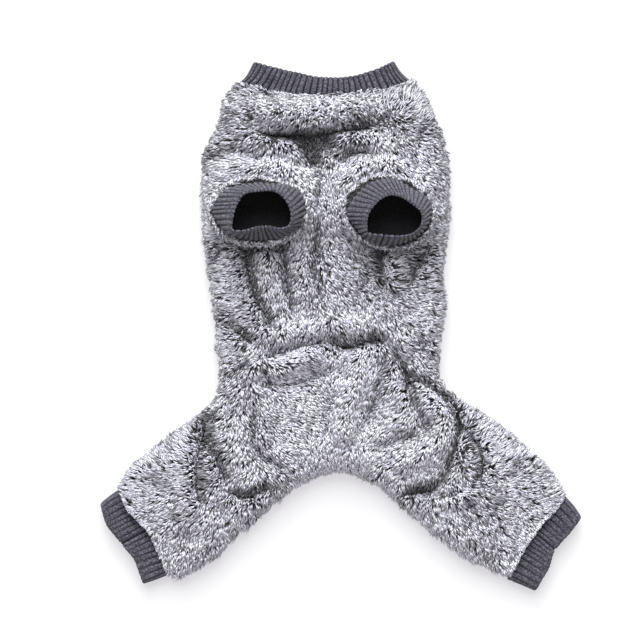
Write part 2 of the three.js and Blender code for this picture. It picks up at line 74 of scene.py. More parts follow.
# Where the legs end the ribs are sewn on along a wavy line, five points from outer to inner side.
LEG_ENDS = {
    "leg_left": [(-178, -131), (-169.3, -148.8), (-154.6, -163.3), (-146, -181.2), (-139.5, -200.3)],
    "leg_right": [(180.5, -136.3), (166.5, -152.5), (154, -167), (144.5, -183), (134.3, -204)]}
print(len(TORSO), "body rows and", len(LEG_LEFT), "rows down each leg")

# %% [markdown]
# ## Smooth rows between the table rows
# Straight lines from row to row would leave corners in the outline, and a Bezier curve needs a
# handle at each point. The Catmull-Rom formula needs none: its curve passes through every row of a
# table. A point of the body is then found by its row and by how far across that row it lies.

# %% Points on the pattern
def between(table, place):
    """The row at a place that may lie between two rows; a to d are the four rows around it."""
    place = np.asarray(place, float)
    start = np.clip(np.floor(place).astype(int), 0, len(table) - 2)
    t = (place - start)[:, None]
    a, b, c, d = (table[np.clip(start + step, 0, len(table) - 1)] for step in (-1, 0, 1, 2))
    return b + ((c - a) + ((2 * a - 5 * b + 4 * c - d) + (3 * b - a - 3 * c + d) * t) * t) * t / 2

def curve(points, share):
    """A smooth line through a few points, at a share of its length from 0 to 1."""
    return between(np.array(points, float), share * (len(points) - 1))

def torso_xy(place, across):
    place, across = np.broadcast_arrays(np.asarray(place, float), np.asarray(across, float))
    shape, place, across = place.shape, place.ravel(), across.ravel()
    row = between(TORSO, np.minimum(place, HIP_ROW))
    down = np.clip((place - HIP_ROW) / HIND_ROWS, 0, 1)
    ends = row[:, :4] * (1 - down[:, None]) + ARCH[:4] * down[:, None]
    bow = np.where(down > 0, ARCH[4] * down * down, row[:, 4]) * 4 * across * (1 - across)
    x = ends[:, 0] + (ends[:, 2] - ends[:, 0]) * across
    y = ends[:, 1] + (ends[:, 3] - ends[:, 1]) * across + bow
    return np.stack([x, y], 1).reshape(*shape, 2)
print("middle of the waist row, in mm:", torso_xy(WAIST_ROW, 0.5).round(1))

# %% Free edges, where the cloth only turns over
body_places = np.linspace(0, HIP_ROW, 61)
arch_line = torso_xy(LAST_ROW, np.linspace(0, 1, 13))
left_rows, right_rows = (between(leg, np.linspace(0, len(leg) - 1, 33)) for leg in (LEG_LEFT, LEG_RIGHT))
FREE_EDGES = [  # the left side, the right side, and the lower line from leg to leg
    np.vstack([torso_xy(body_places, 0.0), left_rows[1:, :2]]),
    np.vstack([torso_xy(body_places, 1.0), right_rows[1:, :2]]),
    np.vstack([left_rows[::-1, 2:], arch_line[1:-1], right_rows[:, 2:]])]
LOWER_EDGE = FREE_EDGES[2]
EDGE_HANDS = (1, -1, 1)  # on which hand of each line the outside lies
print("free edges run", [round(float(np.hypot(*np.diff(e, axis=0).T).sum())) for e in FREE_EDGES], "mm")

# %% [markdown]
# ## How high the cloth stands
# Laid flat, a hollow garment is highest in the middle and rolls down to its edges in a quarter
# circle. The distance to the nearest edge gives that roll. It drops again towards the neck and the
# leg ends, where the fleece is drawn in by the ribs.

# %% Distance to a line
FAR = 1e9

def to_line(xy, line):
    """How far each point is from a line, on which side, and how far along, from 0 to 1."""
    best, side, along = np.full(len(xy), FAR), np.zeros(len(xy)), np.zeros(len(xy))
    line = np.asarray(line, float)
    steps = np.hypot(*np.diff(line, axis=0).T)
    walked, total = 0.0, steps.sum()
    for start, end, step in zip(line[:-1], line[1:], steps):
        way = end - start
        t = np.clip(((xy - start) @ way) / (way @ way), 0, 1)
        off = xy - start - t[:, None] * way
        far = np.hypot(off[:, 0], off[:, 1])
        near = far < best
        best = np.where(near, far, best)
        side = np.where(near, way[0] * off[:, 1] - way[1] * off[:, 0], side)
        along = np.where(near, (walked + t * step) / total, along)
        walked += step
    return best, side, along

def unit(v):
    return v / np.maximum(np.linalg.norm(v, axis=1, keepdims=True), 1e-9)

middle = np.array([(0.0, 0.0)])
print("the middle is", [round(float(to_line(middle, e)[0][0])) for e in FREE_EDGES], "mm from the edges")

# %% Distance to the free edges
ON_EDGE = 0.15  # a point nearer than this counts as on the edge
ALONG_STEP = 0.004  # share of an edge to either side over which its direction is measured

def edge_distance(xy):
    nearest = np.min([to_line(xy, edge)[0] for edge in FREE_EDGES], axis=0)
    return np.where(nearest < ON_EDGE, 0, nearest)

def edge_facts(xy):
    """Distance to the nearest free edge, and the way straight out over it."""
    best, out = np.full(len(xy), FAR), np.zeros_like(xy)
    for edge, hand in zip(FREE_EDGES, EDGE_HANDS):
        far, _, along = to_line(xy, edge)
        walked = np.r_[0, np.cumsum(np.hypot(*np.diff(edge, axis=0).T))]
        at = lambda a: np.column_stack([np.interp(a, walked / walked[-1], edge[:, k]) for k in (0, 1)])
        line = unit(at(along + ALONG_STEP) - at(along - ALONG_STEP)) * hand
        near = far < best
        best = np.where(near, far, best)
        out = np.where(near[:, None], np.column_stack([line[:, 1], -line[:, 0]]), out)
    return np.where(best < ON_EDGE, 0, best), out
print("nearest edge:", edge_distance(middle).round(1), "mm; straight out:", edge_facts(middle)[1].round(2))

# %% Plain height, before any fold
EDGE_Z, LOFT_Z = 9, 25  # where upper and lower cloth meet at the sides, and the highest plain cloth
TOP_ROUND, BACK_ROUND = 1.1, 9  # width of the roll: a share of its rise on top, in mm underneath
MOUTHS = [  # both ends of a mouth, the height there, and how far in it is felt
    ((-84, 190), (60, 192), 18, 34), ((-178, -131), (-139, -200), 18, 60),
    ((180.5, -136), (134, -205), 18, 60)]

def quarter_round(t):
    return np.sqrt(np.clip(1 - (1 - np.clip(t, 0, 1)) ** 2, 0, 1))

def loft(xy):
    height = np.full(len(xy), float(LOFT_Z))
    for start, end, low, reach in MOUTHS:
        t = np.clip(to_line(xy, (start, end))[0] / reach, 0, 1)
        height -= (LOFT_Z - low) * (1 - t) ** 2 * (1 + 2 * t)
    return height
print("plain height in the middle:", loft(middle), "mm")

# %% [markdown]
# ## Folds
# Cloth that was pulled flat by hand keeps troughs and rolls: one deep fold under the neck, gathers
# below each sleeve, a waist fold, and long folds where the legs swing out. A cloth simulation gives
# folds, but not these ones. So each is a line given in the table, with its own lift and its own
# width on either side. A trough has a negative lift, and one wall of it may be steeper than the other.

# %% Fold lines
FOLDS = [  # lift in mm, width on the left of the line, width on its right, then its points
    # the deep fold below the neck, the notch in it and the roll above it
    (-17, 3.5, 5, (-66, 157), (-52, 152), (-40, 152), (-28, 153), (-12, 156), (2, 157.5),
     (15, 158.5), (28, 163)), (-18, 6, 9, (-36, 148), (-20, 147), (-4, 149.5)),
    (-15, 6.5, 7, (-21, 146), (-22, 136), (-21.5, 124)),
    (-5, 3, 5, (-60, 158), (-42, 156.5), (-24, 157), (-6, 160)),
    (8, 10, 8, (-66, 172), (-33, 168), (-9, 170), (24, 175)),
    (-7, 4, 4, (-62, 187), (-57, 184), (-54, 186)), (5, 6, 6, (-64, 158), (-46, 145), (-33, 134)),
    (-5, 7, 5, (-72, 172), (-70, 160)),
    # shoulders and chest
    (-5, 4, 6, (-104, 133), (-94, 141), (-80, 143)), (-4, 6, 6, (-78, 136), (-60, 133)),
    (4, 7, 7, (-105, 120), (-73, 127), (-36, 122)),
    (5, 6, 6, (-12, 145), (0, 150), (22, 149), (40, 142)),
    (4.5, 7, 6, (-2, 112), (16, 126), (36, 131), (58, 121)),
    (-6, 5, 6, (-4, 130), (9, 139), (24, 142)), (-5, 5, 6, (44, 138), (61, 124)),
    (-4, 6, 6, (34, 171), (44, 156)), (-4, 6, 6, (60, 160), (66, 153)),
    # gathers below the left sleeve
    (-11, 3.5, 5, (-73, 68), (-74, 55), (-72, 42), (-70, 31), (-66, 20), (-60, 9), (-52, -2)),
    (4, 6, 6, (-59, 62), (-58, 42), (-53, 22)),
    (-9, 3.5, 4, (-45, 66), (-44, 45), (-43, 33), (-41, 22), (-38, 9)),
    (-6, 2.5, 2.5, (-64, 69), (-64, 59)), (-6, 2.5, 2.5, (-54, 69), (-54, 58)),
    (-5, 5, 5, (-102, 70), (-93, 56)),
    # down the centre of the chest
    (-4, 5, 5, (-18, 112), (-19, 92), (-19, 78)),
    (-9, 4, 4.5, (-19, 84), (-19.5, 66), (-21, 50), (-24, 36)), (-3, 12, 12, (-18, 100), (-18, 52)),
    (3, 6, 6, (-31, 58), (-31, 34)), (-5, 4, 5, (-2, 80), (8, 68)),
    # gathers below the right sleeve
    (-11, 3.5, 3.5, (31, 63), (32, 50), (33.5, 39), (33, 28)),
    (-5, 4, 5, (28, 45), (20, 38), (12, 25)), (4, 5, 5, (43, 58), (41, 36)),
    (-11, 4, 4, (74, 66), (65, 54), (59, 45), (54, 33)), (-5, 3.5, 3.5, (41, 26), (49, 23)),
    # the centre of the chest again, and the waist
    (-5, 3, 3, (-17, 124), (-17.5, 104), (-18, 92)), (-3.5, 3, 3, (-22, 42), (-18, 22)),
    (-10, 3.5, 4.5, (-96, 7), (-86, -2), (-77, -8), (-69, -12)),
    (-6.5, 3.5, 3, (-62, -25), (-52, -22.5), (-42, -22), (-36, -19)),
    (-5, 3, 3.5, (-36, -16), (-15, -12.5), (-3, -13.5)),
    (-13, 4, 5, (-3, -14), (6, -17), (11, -16), (20, -11), (30, -10), (35, -12)),
    (5, 9, 7, (-66, -9), (-20, -2), (33, 1)),
    # hips, seat and the folds down into the right leg
    (-9, 3.5, 4, (-92, -43), (-84, -37), (-75, -29)), (5, 4, 4, (-72, -37), (-60, -27)),
    (-8, 4.5, 5, (-63, -30), (-59, -38), (-57, -50)), (7, 6, 6, (-60, -38), (-40, -30), (-20, -23)),
    (-5, 4, 4, (64, -13), (67, -19)), (-8, 4, 4, (39, -16), (49, -30), (52, -42), (57, -54)),
    (-12, 3.5, 3.5, (49, -33), (61, -42), (73, -49), (85, -60), (92, -72), (95, -83),
     (92, -95), (88, -106), (84, -116), (79, -127)), (-7, 5, 5, (94, -72), (98, -86)),
    (-8, 4, 4, (101, -86), (109, -100), (113, -112), (109, -130)),
    (-8, 3, 3, (49, -36), (55, -50), (60, -64), (66, -77), (71, -85)),
    (5.5, 6, 7, (68, -57), (82, -76), (79, -100)), (-5.5, 5, 5, (30, -100), (44, -91), (66, -84)),
    (5, 8, 8, (45, -112), (62, -104), (78, -98)),
    (9, 6, 8, (19, -20), (13, -45), (6, -62), (3, -80), (1, -94)),
    (-7.5, 4.5, 4, (36, -26), (31, -42), (27, -60), (20, -76), (12, -89)),
    (-4, 4, 5, (-44, -48), (-25, -42), (-6, -34)), (-2.5, 5, 5, (-3, -50), (-10, -66), (-12, -88)),
    # the left leg, and both legs near their cuffs
    (-11, 3.5, 4.5, (-102, -68), (-107, -78), (-107, -89), (-102, -98), (-96, -112),
     (-91, -126)),
    (-12, 3.2, 3.2, (-110, -78), (-112, -96), (-114, -114), (-115, -129), (-111, -142)),
    (-8, 4.5, 4, (-70, -66), (-69, -80), (-71, -92), (-67, -102), (-57, -109), (-44, -115)),
    (-14, 3.5, 4.5, (-88, -131), (-78, -136.5), (-68, -134), (-57, -128)),
    (-13, 5, 4.5, (48, -134), (60, -133), (72, -132), (79, -126)),
    (3, 10, 10, (-88, -84), (-87, -110)), (5, 3, 3, (84, -141), (98, -137), (108, -133)),
    (-5, 4, 4, (86, -137), (98, -133)), (-7, 3.5, 3.5, (101, -139), (108, -147)),
    (-7, 3.5, 3.5, (124, -143), (131, -141)), (-4, 4, 4, (-148, -93), (-139, -98)),
    (-3, 4, 4, (-133, -151), (-129, -155)), (-4, 6, 6, (-150, -118), (-143, -132)),
    (-3, 5, 5, (-128, -163), (-120, -172)), (-4, 6, 6, (143, -106), (137, -122)),
    (-3, 6, 6, (128, -160), (122, -172)),
    # the sides of the chest
    (-4, 6, 7, (-88, 104), (-104, 98)), (-4, 6, 7, (70, 106), (82, 98))]
SLEEVE_BASES = [(-66, 91, 36, 24.5), (37.5, 91, 33, 25.5)]  # centre x, centre y, half width, half height
print(len(FOLDS), "folds laid,", sum(fold[0] < 0 for fold in FOLDS), "of them troughs")

# %% How far the folds lift the cloth
COLLAR_LIFT, COLLAR_REACH = 8, 15  # cloth stands up in a collar round each sleeve
GATHER_DROP, GATHER_REACH = 11.5, 6  # below the sleeve it is gathered down instead, a little further
BELOW_GAIN, BELOW_START = 1.6, 0.5  # how soon the collar turns into gathers
FOLD_FADE, FOLD_END = 0.22, 0.3  # a fold fades over this share of its line, down to this share

def fold_lift(xy):
    lift = np.zeros(len(xy))
    for x, y, across, up in SLEEVE_BASES:
        dx, dy = (xy[:, 0] - x) / across, (xy[:, 1] - y) / up
        reach = np.maximum(np.hypot(dx, dy) - 1, 0) * up
        below = np.clip(-dy / np.maximum(np.hypot(dx, dy), 0.1) * BELOW_GAIN - BELOW_START, 0, 1)
        lift += ((COLLAR_LIFT - GATHER_DROP * below)
                 * np.exp(-((reach / (COLLAR_REACH + GATHER_REACH * below)) ** 2)))
    for high, left, right, *line in FOLDS:
        far, side, along = to_line(xy, line)
        ends = np.clip(np.minimum(along, 1 - along) / FOLD_FADE, 0, 1)
        width = np.where(side > 0, left, right)
        lift += high * (FOLD_END + (1 - FOLD_END) * ends * (2 - ends)) * np.exp(-((far / width) ** 2))
    return lift
print("lift in the neck fold:", fold_lift(np.array([(-33.0, 151.0)])).round(1), "mm")

# %% [markdown]
# ## Small unevenness
# Hand-laid cloth is never even between its folds. Blender's noise textures could shake the finished
# mesh, but the same height is needed again for the pile. A table of random numbers, smoothed over a
# chosen distance, gives soft lumps here, and later it turns the pile a little this way and that.

# %% Soft random lumps
LUMP_CELLS = 64  # the table repeats after so many cells, far outside the garment
CENTRED = 1000.5  # moves every point to cells above zero

def lumps(xy, size, seed):
    table = np.random.default_rng(seed).random((LUMP_CELLS, LUMP_CELLS)) * 2 - 1
    moved = xy / size + CENTRED
    cell = np.floor(moved).astype(int)
    t = moved - cell
    t = t * t * (3 - 2 * t)
    at = lambda i, j: table[(cell[:, 0] + i) % LUMP_CELLS, (cell[:, 1] + j) % LUMP_CELLS]
    low = at(0, 0) * (1 - t[:, 0]) + at(1, 0) * t[:, 0]
    high = at(0, 1) * (1 - t[:, 0]) + at(1, 1) * t[:, 0]
    return low * (1 - t[:, 1]) + high * t[:, 1]
print("one lump:", lumps(middle, 20, 5).round(2))

# %% Height of the upper and the under side
UNEVEN = ((1.4, 20, 5), (0.6, 9, 6))  # height in mm, distance in mm and seed of the lumps
LOWEST_Z, FLEECE_WALL = 6.2, 5  # a fold may press the belly down nearly to the inside of the back
TROUGH_SHARE = 0.95  # share of the hollow that the deepest fold may take

def top_height(xy):
    plain = loft(xy)
    turned = quarter_round(edge_distance(xy) / ((plain - EDGE_Z) * TOP_ROUND))
    deepest = (plain - LOWEST_Z - FLEECE_WALL) * TROUGH_SHARE
    lift = fold_lift(xy)
    for high, size, seed in UNEVEN:
        lift += high * lumps(xy, size, seed)
    lift = np.where(lift < 0, deepest * np.tanh(lift / deepest), lift)
    return EDGE_Z + (plain - EDGE_Z + lift * turned) * turned

def under_height(xy):
    return EDGE_Z * (1 - quarter_round(edge_distance(xy) / BACK_ROUND))

probe = np.array([(-33.0, 151.0), (0.0, 100.0), (0.0, -60.0), (-120.0, -130.0)])
print("heights in the neck fold, on chest, seat and left leg:", top_height(probe).round(1))

# %% [markdown]
# ## Turning points into meshes
# Big meshes are made from arrays of points and faces in one go, which is far faster than adding
# faces one at a time with bmesh or an operator. A material is given as a slot number for each face,
# so that a cloth can have a base for the pile on one side and a dark backing on the other.

# %% Mesh helpers
def mesh_object(name, points_mm, faces, uv=None, uv_name="", slots=None):
    faces = np.asarray(faces, np.int32)
    made = bpy.data.meshes.new(name)
    made.vertices.add(len(points_mm))
    made.vertices.foreach_set("co", (np.asarray(points_mm, float) * MM).ravel())
    made.loops.add(faces.size)
    made.loops.foreach_set("vertex_index", faces.ravel())
    made.polygons.add(len(faces))
    made.polygons.foreach_set("loop_start", np.arange(len(faces), dtype=np.int32) * faces.shape[1])
    made.update(calc_edges=True)
    if uv is not None:
        made.uv_layers.new(name=uv_name).data.foreach_set("uv", np.asarray(uv, float).ravel())
    if slots is not None:
        made.polygons.foreach_set("material_index", np.asarray(slots, np.int32))
    made.polygons.foreach_set("use_smooth", np.ones(len(faces), bool))
    made.update()
    piece = bpy.data.objects.new(name, made)
    bpy.context.collection.objects.link(piece)
    return piece

def grid_faces(rows, columns, start=0, wrap=False):
    """Quads between the points of a grid, whose last column may join its first."""
    i, j = np.meshgrid(np.arange(rows - 1), np.arange(columns if wrap else columns - 1), indexing="ij")
    k = (j + 1) % columns
    quad = np.stack([i * columns + j, i * columns + k, (i + 1) * columns + k, (i + 1) * columns + j], -1)
    return quad.reshape(-1, 4) + start

def outward(faces, points):
    """The same quads, turned round if the closed form they make is inside out."""
    a, b, c, d = (points[faces[:, corner]] for corner in range(4))
    volume = np.einsum("ij,ij->i", a, np.cross(b, c) + np.cross(c, d)).sum()
    return faces if volume > 0 else faces[:, ::-1]
print("3 by 3 points make", len(grid_faces(3, 3)), "quads, or", len(grid_faces(3, 3, wrap=True)), "as a tube")

# %% [markdown]
# ## Cloth shells
# The base cloth under the pile is a knit about a millimetre thick. Solidify could thicken a single
# sheet, but here both faces have to stay clear of the floor and of the cloth below. So a shell is two
# grids of points, the outer and the inner face, joined round the rim like a real sheet of cloth. It
# lies a few millimetres inside the space that the CAD solid fills, and the pile fills the rest.

# %% Sheets and tubes of base cloth
PILE_ROOM, BASE_WALL, SEAM_GAP = 3.7, 1.1, 0.3

def shell(name, outer, inner, wrap=False):
    rows, columns = outer.shape[:2]
    points = np.vstack([outer.reshape(-1, 3), inner.reshape(-1, 3)])
    count = rows * columns
    front = grid_faces(rows, columns, 0, wrap)
    back = grid_faces(rows, columns, count, wrap)[:, ::-1]
    index = np.arange(count).reshape(rows, columns)
    rims = [index[0], index[-1, ::-1]] if wrap else [np.concatenate(
        [index[0, :-1], index[:-1, -1], index[-1, :0:-1], index[:0:-1, 0]])]
    sides = []
    for rim in rims:
        after = np.roll(rim, -1)
        sides.append(np.stack([after, rim, rim + count, after + count], 1))
    faces = np.vstack([front, back, *sides])
    slots = np.concatenate([np.zeros(len(front)), np.ones(len(faces) - len(front))])
    return mesh_object(name, points, outward(faces, points), slots=slots)

def towards_edges(first, last, count, at_first, at_last):
    """Numbers from first to last, set closer together where the cloth rolls over."""
    t = np.linspace(0, 1, count)
    if at_first and at_last:
        t = (1 - np.cos(np.pi * t)) / 2
    elif at_first:
        t = 1 - np.cos(np.pi / 2 * t)
    elif at_last:
        t = np.sin(np.pi / 2 * t)
    return first + (last - first) * t

def rolled_normal(xy, side):
    """Straight up in the middle, turning outwards round the rolled edge; side is -1 underneath."""
    far, out = edge_facts(xy)
    turn = np.clip(1 - far / ((loft(xy) - EDGE_Z) * TOP_ROUND if side > 0 else BACK_ROUND), 0, 1)
    return np.column_stack([out * turn[:, None], side * np.sqrt(1 - turn ** 2)])
print("columns across a panel:", towards_edges(0, 1, 6, True, True).round(2))

# %% Both faces of a body panel
FREE_REACH = 14  # how far in from a free edge the lowest point of a fold rises to the edge's height

def spread(places, across):
    """The columns of a panel, which become even from the hips down to the arch."""
    even = np.linspace(across[0], across[-1], len(across))
    down = np.clip((places - HIP_ROW) / HIND_ROWS, 0, 1)[:, None]
    return across[None] * (1 - down) + even[None] * down

def torso_grids(places, across, height, side, seams):
    """The outer and the inner face. Along a seam the cloth ends upright, a small gap before the next."""
    columns = spread(places, across)
    xy = torso_xy(places[:, None], columns)
    flat_xy = xy.reshape(-1, 2)
    reach = np.dstack([xy, height(flat_xy).reshape(columns.shape)])
    normal = rolled_normal(flat_xy, side).reshape(*columns.shape, 3)
    at_neck, at_tail, at_left, at_right = seams
    if at_neck:
        normal[0, :, 1] = 0
    if at_tail:
        normal[-1, :, 1] = 0
    sewn_rows = {"free": places < 0, "sewn": places >= 0, "hip": places > HIP_ROW}
    normal[sewn_rows[at_left], 0, 0] = 0
    normal[sewn_rows[at_right], -1, 0] = 0
    normal /= np.linalg.norm(normal, axis=2, keepdims=True)
    limit = EDGE_Z + side * SEAM_GAP / 2
    if side > 0:
        inside = np.clip(edge_distance(flat_xy) / FREE_REACH, 0, 1).reshape(columns.shape)
        limit = limit + (LOWEST_Z - limit) * inside
    faces = []
    for inset in (PILE_ROOM, PILE_ROOM + BASE_WALL):
        grid = reach - normal * inset
        if at_neck:
            grid[0, :, 1] -= SEAM_GAP / 2
        if at_tail:
            grid[-1, :, 1] += SEAM_GAP / 2
        grid[..., 2] = np.maximum(grid[..., 2], limit) if side > 0 else np.minimum(grid[..., 2], limit)
        faces.append(grid)
    return faces
print("columns at the waist and at the arch:", spread(np.array([13, 20]), np.array([0, 0.1, 1])).round(2))

# %% The four body panels
PANELS = {  # rows, columns, height, side, and how its neck, tail, left and right sides end
    "back_panel": (np.linspace(0, LAST_ROW, 92), towards_edges(0, 1, 56, True, True),
                   under_height, -1, (True, False, "hip", "hip")),
    "belly_left": (np.linspace(0, WAIST_ROW, 112), towards_edges(0, CHEST_SEAM, 52, True, False),
                   top_height, 1, (True, True, "free", "sewn")),
    "belly_right": (np.linspace(0, WAIST_ROW, 112), towards_edges(CHEST_SEAM, 1, 54, False, True),
                    top_height, 1, (True, True, "sewn", "free")),
    "hind_panel": (np.linspace(WAIST_ROW, LAST_ROW, 62), towards_edges(0, 1, 88, True, True),
                   top_height, 1, (True, False, "hip", "hip"))}
cloth_grids, cloths = {}, {}
for name, (places, across, height, side, seams) in PANELS.items():
    outer, inner = torso_grids(places, across, height, side, seams)
    cloth_grids[name] = outer
    cloths[name] = shell(name + "_cloth", outer, inner)
    print(name, len(cloths[name].data.polygons), "faces")

# %% [markdown]
# ## Armholes
# A tailor cuts the armholes out of the finished belly. A Boolean does the same: a cutter in the
# shape of the armhole is taken away from each belly shell, and the cut edge comes out closed.
# Leaving faces out of the grid would be simpler, but its edge would be a row of steps. The sleeves'
# table comes first, because the cutter has the shape of a sleeve's lowest ring.

# %% Sleeve rings
SLEEVE_HEIGHTS = (12, 22, 31, 33, 35.5, 39)
SLEEVE_RINGS = {  # centre x, centre y, half width, upper half, lower half, turn in degrees
    "sleeve_left": [(-66, 91, 36, 24.5, 24, 0)] * 3 + [
        (-66, 91, 39.5, 28, 27, 0), (-66, 91, 40.5, 28.5, 27.5, 0), (-65.5, 91, 39, 26.5, 25.5, 0)],
    "sleeve_right": [(37.5, 91, 33, 25.5, 26.5, -10)] * 3 + [
        (38, 91, 36.5, 29, 29.5, -10), (38, 91, 37.5, 30, 30, -10), (38, 90.4, 36, 28.5, 28.5, -12)]}

def ring(z, row, angles, wall=0.0):
    x, y, across, up, down, turn = row
    half = np.where(np.sin(angles) > 0, up, down)
    px, py = (across - wall) * np.cos(angles), (half - wall) * np.sin(angles)
    c, s = math.cos(math.radians(turn)), math.sin(math.radians(turn))
    return np.stack([x + px * c - py * s, y + px * s + py * c, np.full(len(angles), float(z))], 1)
print("a sleeve has", len(SLEEVE_HEIGHTS), "rings, up to", SLEEVE_HEIGHTS[-1], "mm")

# %% The armhole cut
CUTTER_TOP = 0.06  # metres, higher than the belly

def cut_armhole(belly, row):
    bpy.ops.object.select_all(action="DESELECT")
    bpy.ops.mesh.primitive_cylinder_add(vertices=48, radius=1, depth=1)
    cutter = bpy.context.object
    angles = np.arctan2([v.co.y for v in cutter.data.vertices], [v.co.x for v in cutter.data.vertices])
    for vertex, (x, y, _) in zip(cutter.data.vertices, ring(0, row, angles, PILE_ROOM) * MM):
        vertex.co = (x, y, CUTTER_TOP if vertex.co.z > 0 else 0.0)
    cut = belly.modifiers.new("armhole", "BOOLEAN")
    cut.operation, cut.object, cut.solver = "DIFFERENCE", cutter, "EXACT"
    bpy.context.view_layer.objects.active = belly
    bpy.ops.object.modifier_apply(modifier=cut.name)
    bpy.data.objects.remove(cutter, do_unlink=True)

for side in ("left", "right"):
    cut_armhole(cloths["belly_" + side], SLEEVE_RINGS["sleeve_" + side][0])
    print("armhole", side, "leaves", len(cloths["belly_" + side].data.polygons), "faces")

# %% [markdown]
# ## Legs and sleeves
# A leg is a tube pressed flat: one long ring goes over the top and back underneath. A sleeve is a
# short tube that stands up out of its armhole. Both could be primitives that are pressed and bent,
# but rows from the same pattern meet the body at its seams, so they are shells like the panels.

# %% Legs
LEG_ROWS, LEG_TOP, LEG_UNDER = 64, 46, 30
WAVE_FROM = 4.5  # the row from which the leg follows its wavy end

def leg_rings(name, table):
    """The outer surface of a leg and its normals, over the top first and then back underneath."""
    places = np.linspace(0, len(table) - 1, LEG_ROWS)
    rows = between(table, places)
    near_end = (np.clip((places - WAVE_FROM) / (len(table) - 1 - WAVE_FROM), 0, 1) ** 2)[:, None, None]
    halves = []
    for across, height, side in ((towards_edges(0, 1, LEG_TOP, True, True), top_height, 1),
                                 (towards_edges(1, 0, LEG_UNDER, True, True)[1:-1], under_height, -1)):
        straight = rows[:, None, :2] + (rows[:, None, 2:] - rows[:, None, :2]) * across[None, :, None]
        flat = (straight + (curve(LEG_ENDS[name], across) - straight[-1]) * near_end).reshape(-1, 2)
        halves.append([np.column_stack([flat, height(flat)]), rolled_normal(flat, side)])
    shape = (len(rows), -1, 3)
    return [np.concatenate([half[k].reshape(shape) for half in halves], axis=1) for k in (0, 1)]

for name, table in (("leg_left", LEG_LEFT), ("leg_right", LEG_RIGHT)):
    reach, normal = leg_rings(name, table)
    outer, inner = (reach - normal * inset for inset in (PILE_ROOM, PILE_ROOM + BASE_WALL))
    cloth_grids[name] = outer
    cloths[name] = shell(name + "_cloth", outer, inner, wrap=True)
    print(name, len(cloths[name].data.polygons), "faces")

# %% Sleeves
SLEEVE_ROWS = 21
angles = np.linspace(0, 2 * np.pi, 96, endpoint=False)
for name, rings in SLEEVE_RINGS.items():
    table = np.column_stack([SLEEVE_HEIGHTS, rings])
    rows = between(table, np.linspace(0, len(table) - 1, SLEEVE_ROWS))
    outer, inner = (np.stack([ring(row[0], row[1:], angles, wall) for row in rows])
                    for wall in (PILE_ROOM, PILE_ROOM + BASE_WALL))
    cloth_grids[name] = outer
    cloths[name] = shell(name + "_cloth", outer, inner, wrap=True)
    print(name, len(cloths[name].data.polygons), "faces")

# %% [markdown]
# ## Which way the pile lies
# A nap has a direction, like hair: on the chest it falls away from the centre seam, at the neck it
# stands up over the rib, and at every free edge it points outwards. Hair could be combed by hand,
# but combing can't be written down. So each mark below is a place and the way the locks lie there,
# and between the marks the directions are blended by nearness.

# %% Nap directions
NAP = np.array([  # x, y, way in degrees from +X towards +Y
    (-55, 180, 110), (-10, 178, 90), (35, 182, 75), (-50, 168, 250), (-10, 166, 285),
    (20, 168, 300), (-90, 165, 190), (-100, 145, 200), (66, 170, 45), (78, 150, 345),
    (-85, 150, 215), (-50, 140, 240), (-35, 128, 300), (-28, 145, 300), (0, 145, 230),
    (20, 150, 260), (50, 150, 300), (-25, 60, 235), (-25, 40, 240), (-8, 60, 310), (-8, 40, 305),
    (5, 50, 315), (15, 50, 320), (-68, 50, 225), (-54, 50, 310), (-90, 60, 180), (-90, 35, 185),
    (-95, 80, 180), (45, 50, 0), (60, 40, 350), (75, 60, 330), (80, 40, 0), (-85, 10, 200),
    (-60, 0, 250), (-30, 0, 265), (0, 0, 280), (30, 8, 290), (60, 10, 330), (75, -5, 320),
    (-85, -35, 200), (-60, -45, 330), (-40, -40, 340), (-45, -65, 335), (-50, -90, 325),
    (-20, -60, 340), (-10, -100, 270), (0, -50, 235), (5, -75, 235), (15, -45, 240), (20, -80, 250),
    (40, -70, 215), (50, -95, 210), (65, -75, 230), (75, -95, 240), (60, -115, 250),
    (-120, -95, 150), (-150, -120, 160), (-165, -140, 190), (-130, -140, 200), (-110, -165, 240),
    (-90, -150, 250), (-130, -185, 250), (110, -85, 30), (140, -105, 20), (165, -130, 350),
    (120, -135, 340), (110, -165, 300), (95, -150, 290), (135, -185, 300), (-55, -148, 262),
    (-85, -172, 266), (-118, -192, 258), (-10, -118, 275), (60, -150, 282), (90, -178, 290),
    (118, -196, 296), (-75, -75, 290), (-88, -92, 240), (-103, -90, 200), (-76, -52, 270),
    (-30, 184, 215)], float)
NAP_REACH, NAP_FLOOR = 17, 1e-4  # how far a mark is felt, in mm, and its least weight anywhere
OUT_STOPS = ((-120, 2.0), (-100, 3.2), (-75, 3.2), (-55, 1.5))  # y, pull out over a free edge
OUT_REACH = 7  # mm from the edge over which that pull fades

def by_stops(value, stops):
    """A number read off a table of stops, with straight lines between them."""
    return np.interp(value, *np.array(stops, float).T)

def nap_way(xy, edge_far, edge_out):
    turn = np.radians(NAP[:, 2])
    ways = np.stack([np.cos(turn), np.sin(turn)], 1)
    total, weight = np.zeros_like(xy), np.zeros(len(xy))
    for (x, y, _), way in zip(NAP, ways):
        near = np.exp(-((xy[:, 0] - x) ** 2 + (xy[:, 1] - y) ** 2) / NAP_REACH ** 2) + NAP_FLOOR
        total += near[:, None] * way
        weight += near
    pull = by_stops(xy[:, 1], OUT_STOPS) * np.exp(-edge_far / OUT_REACH)
    return total / weight[:, None] + edge_out * pull[:, None]
print(len(NAP), "nap marks; on chest, seat and left leg the pile lies:",
      nap_way(probe[1:], *edge_facts(probe[1:])).round(1).tolist())

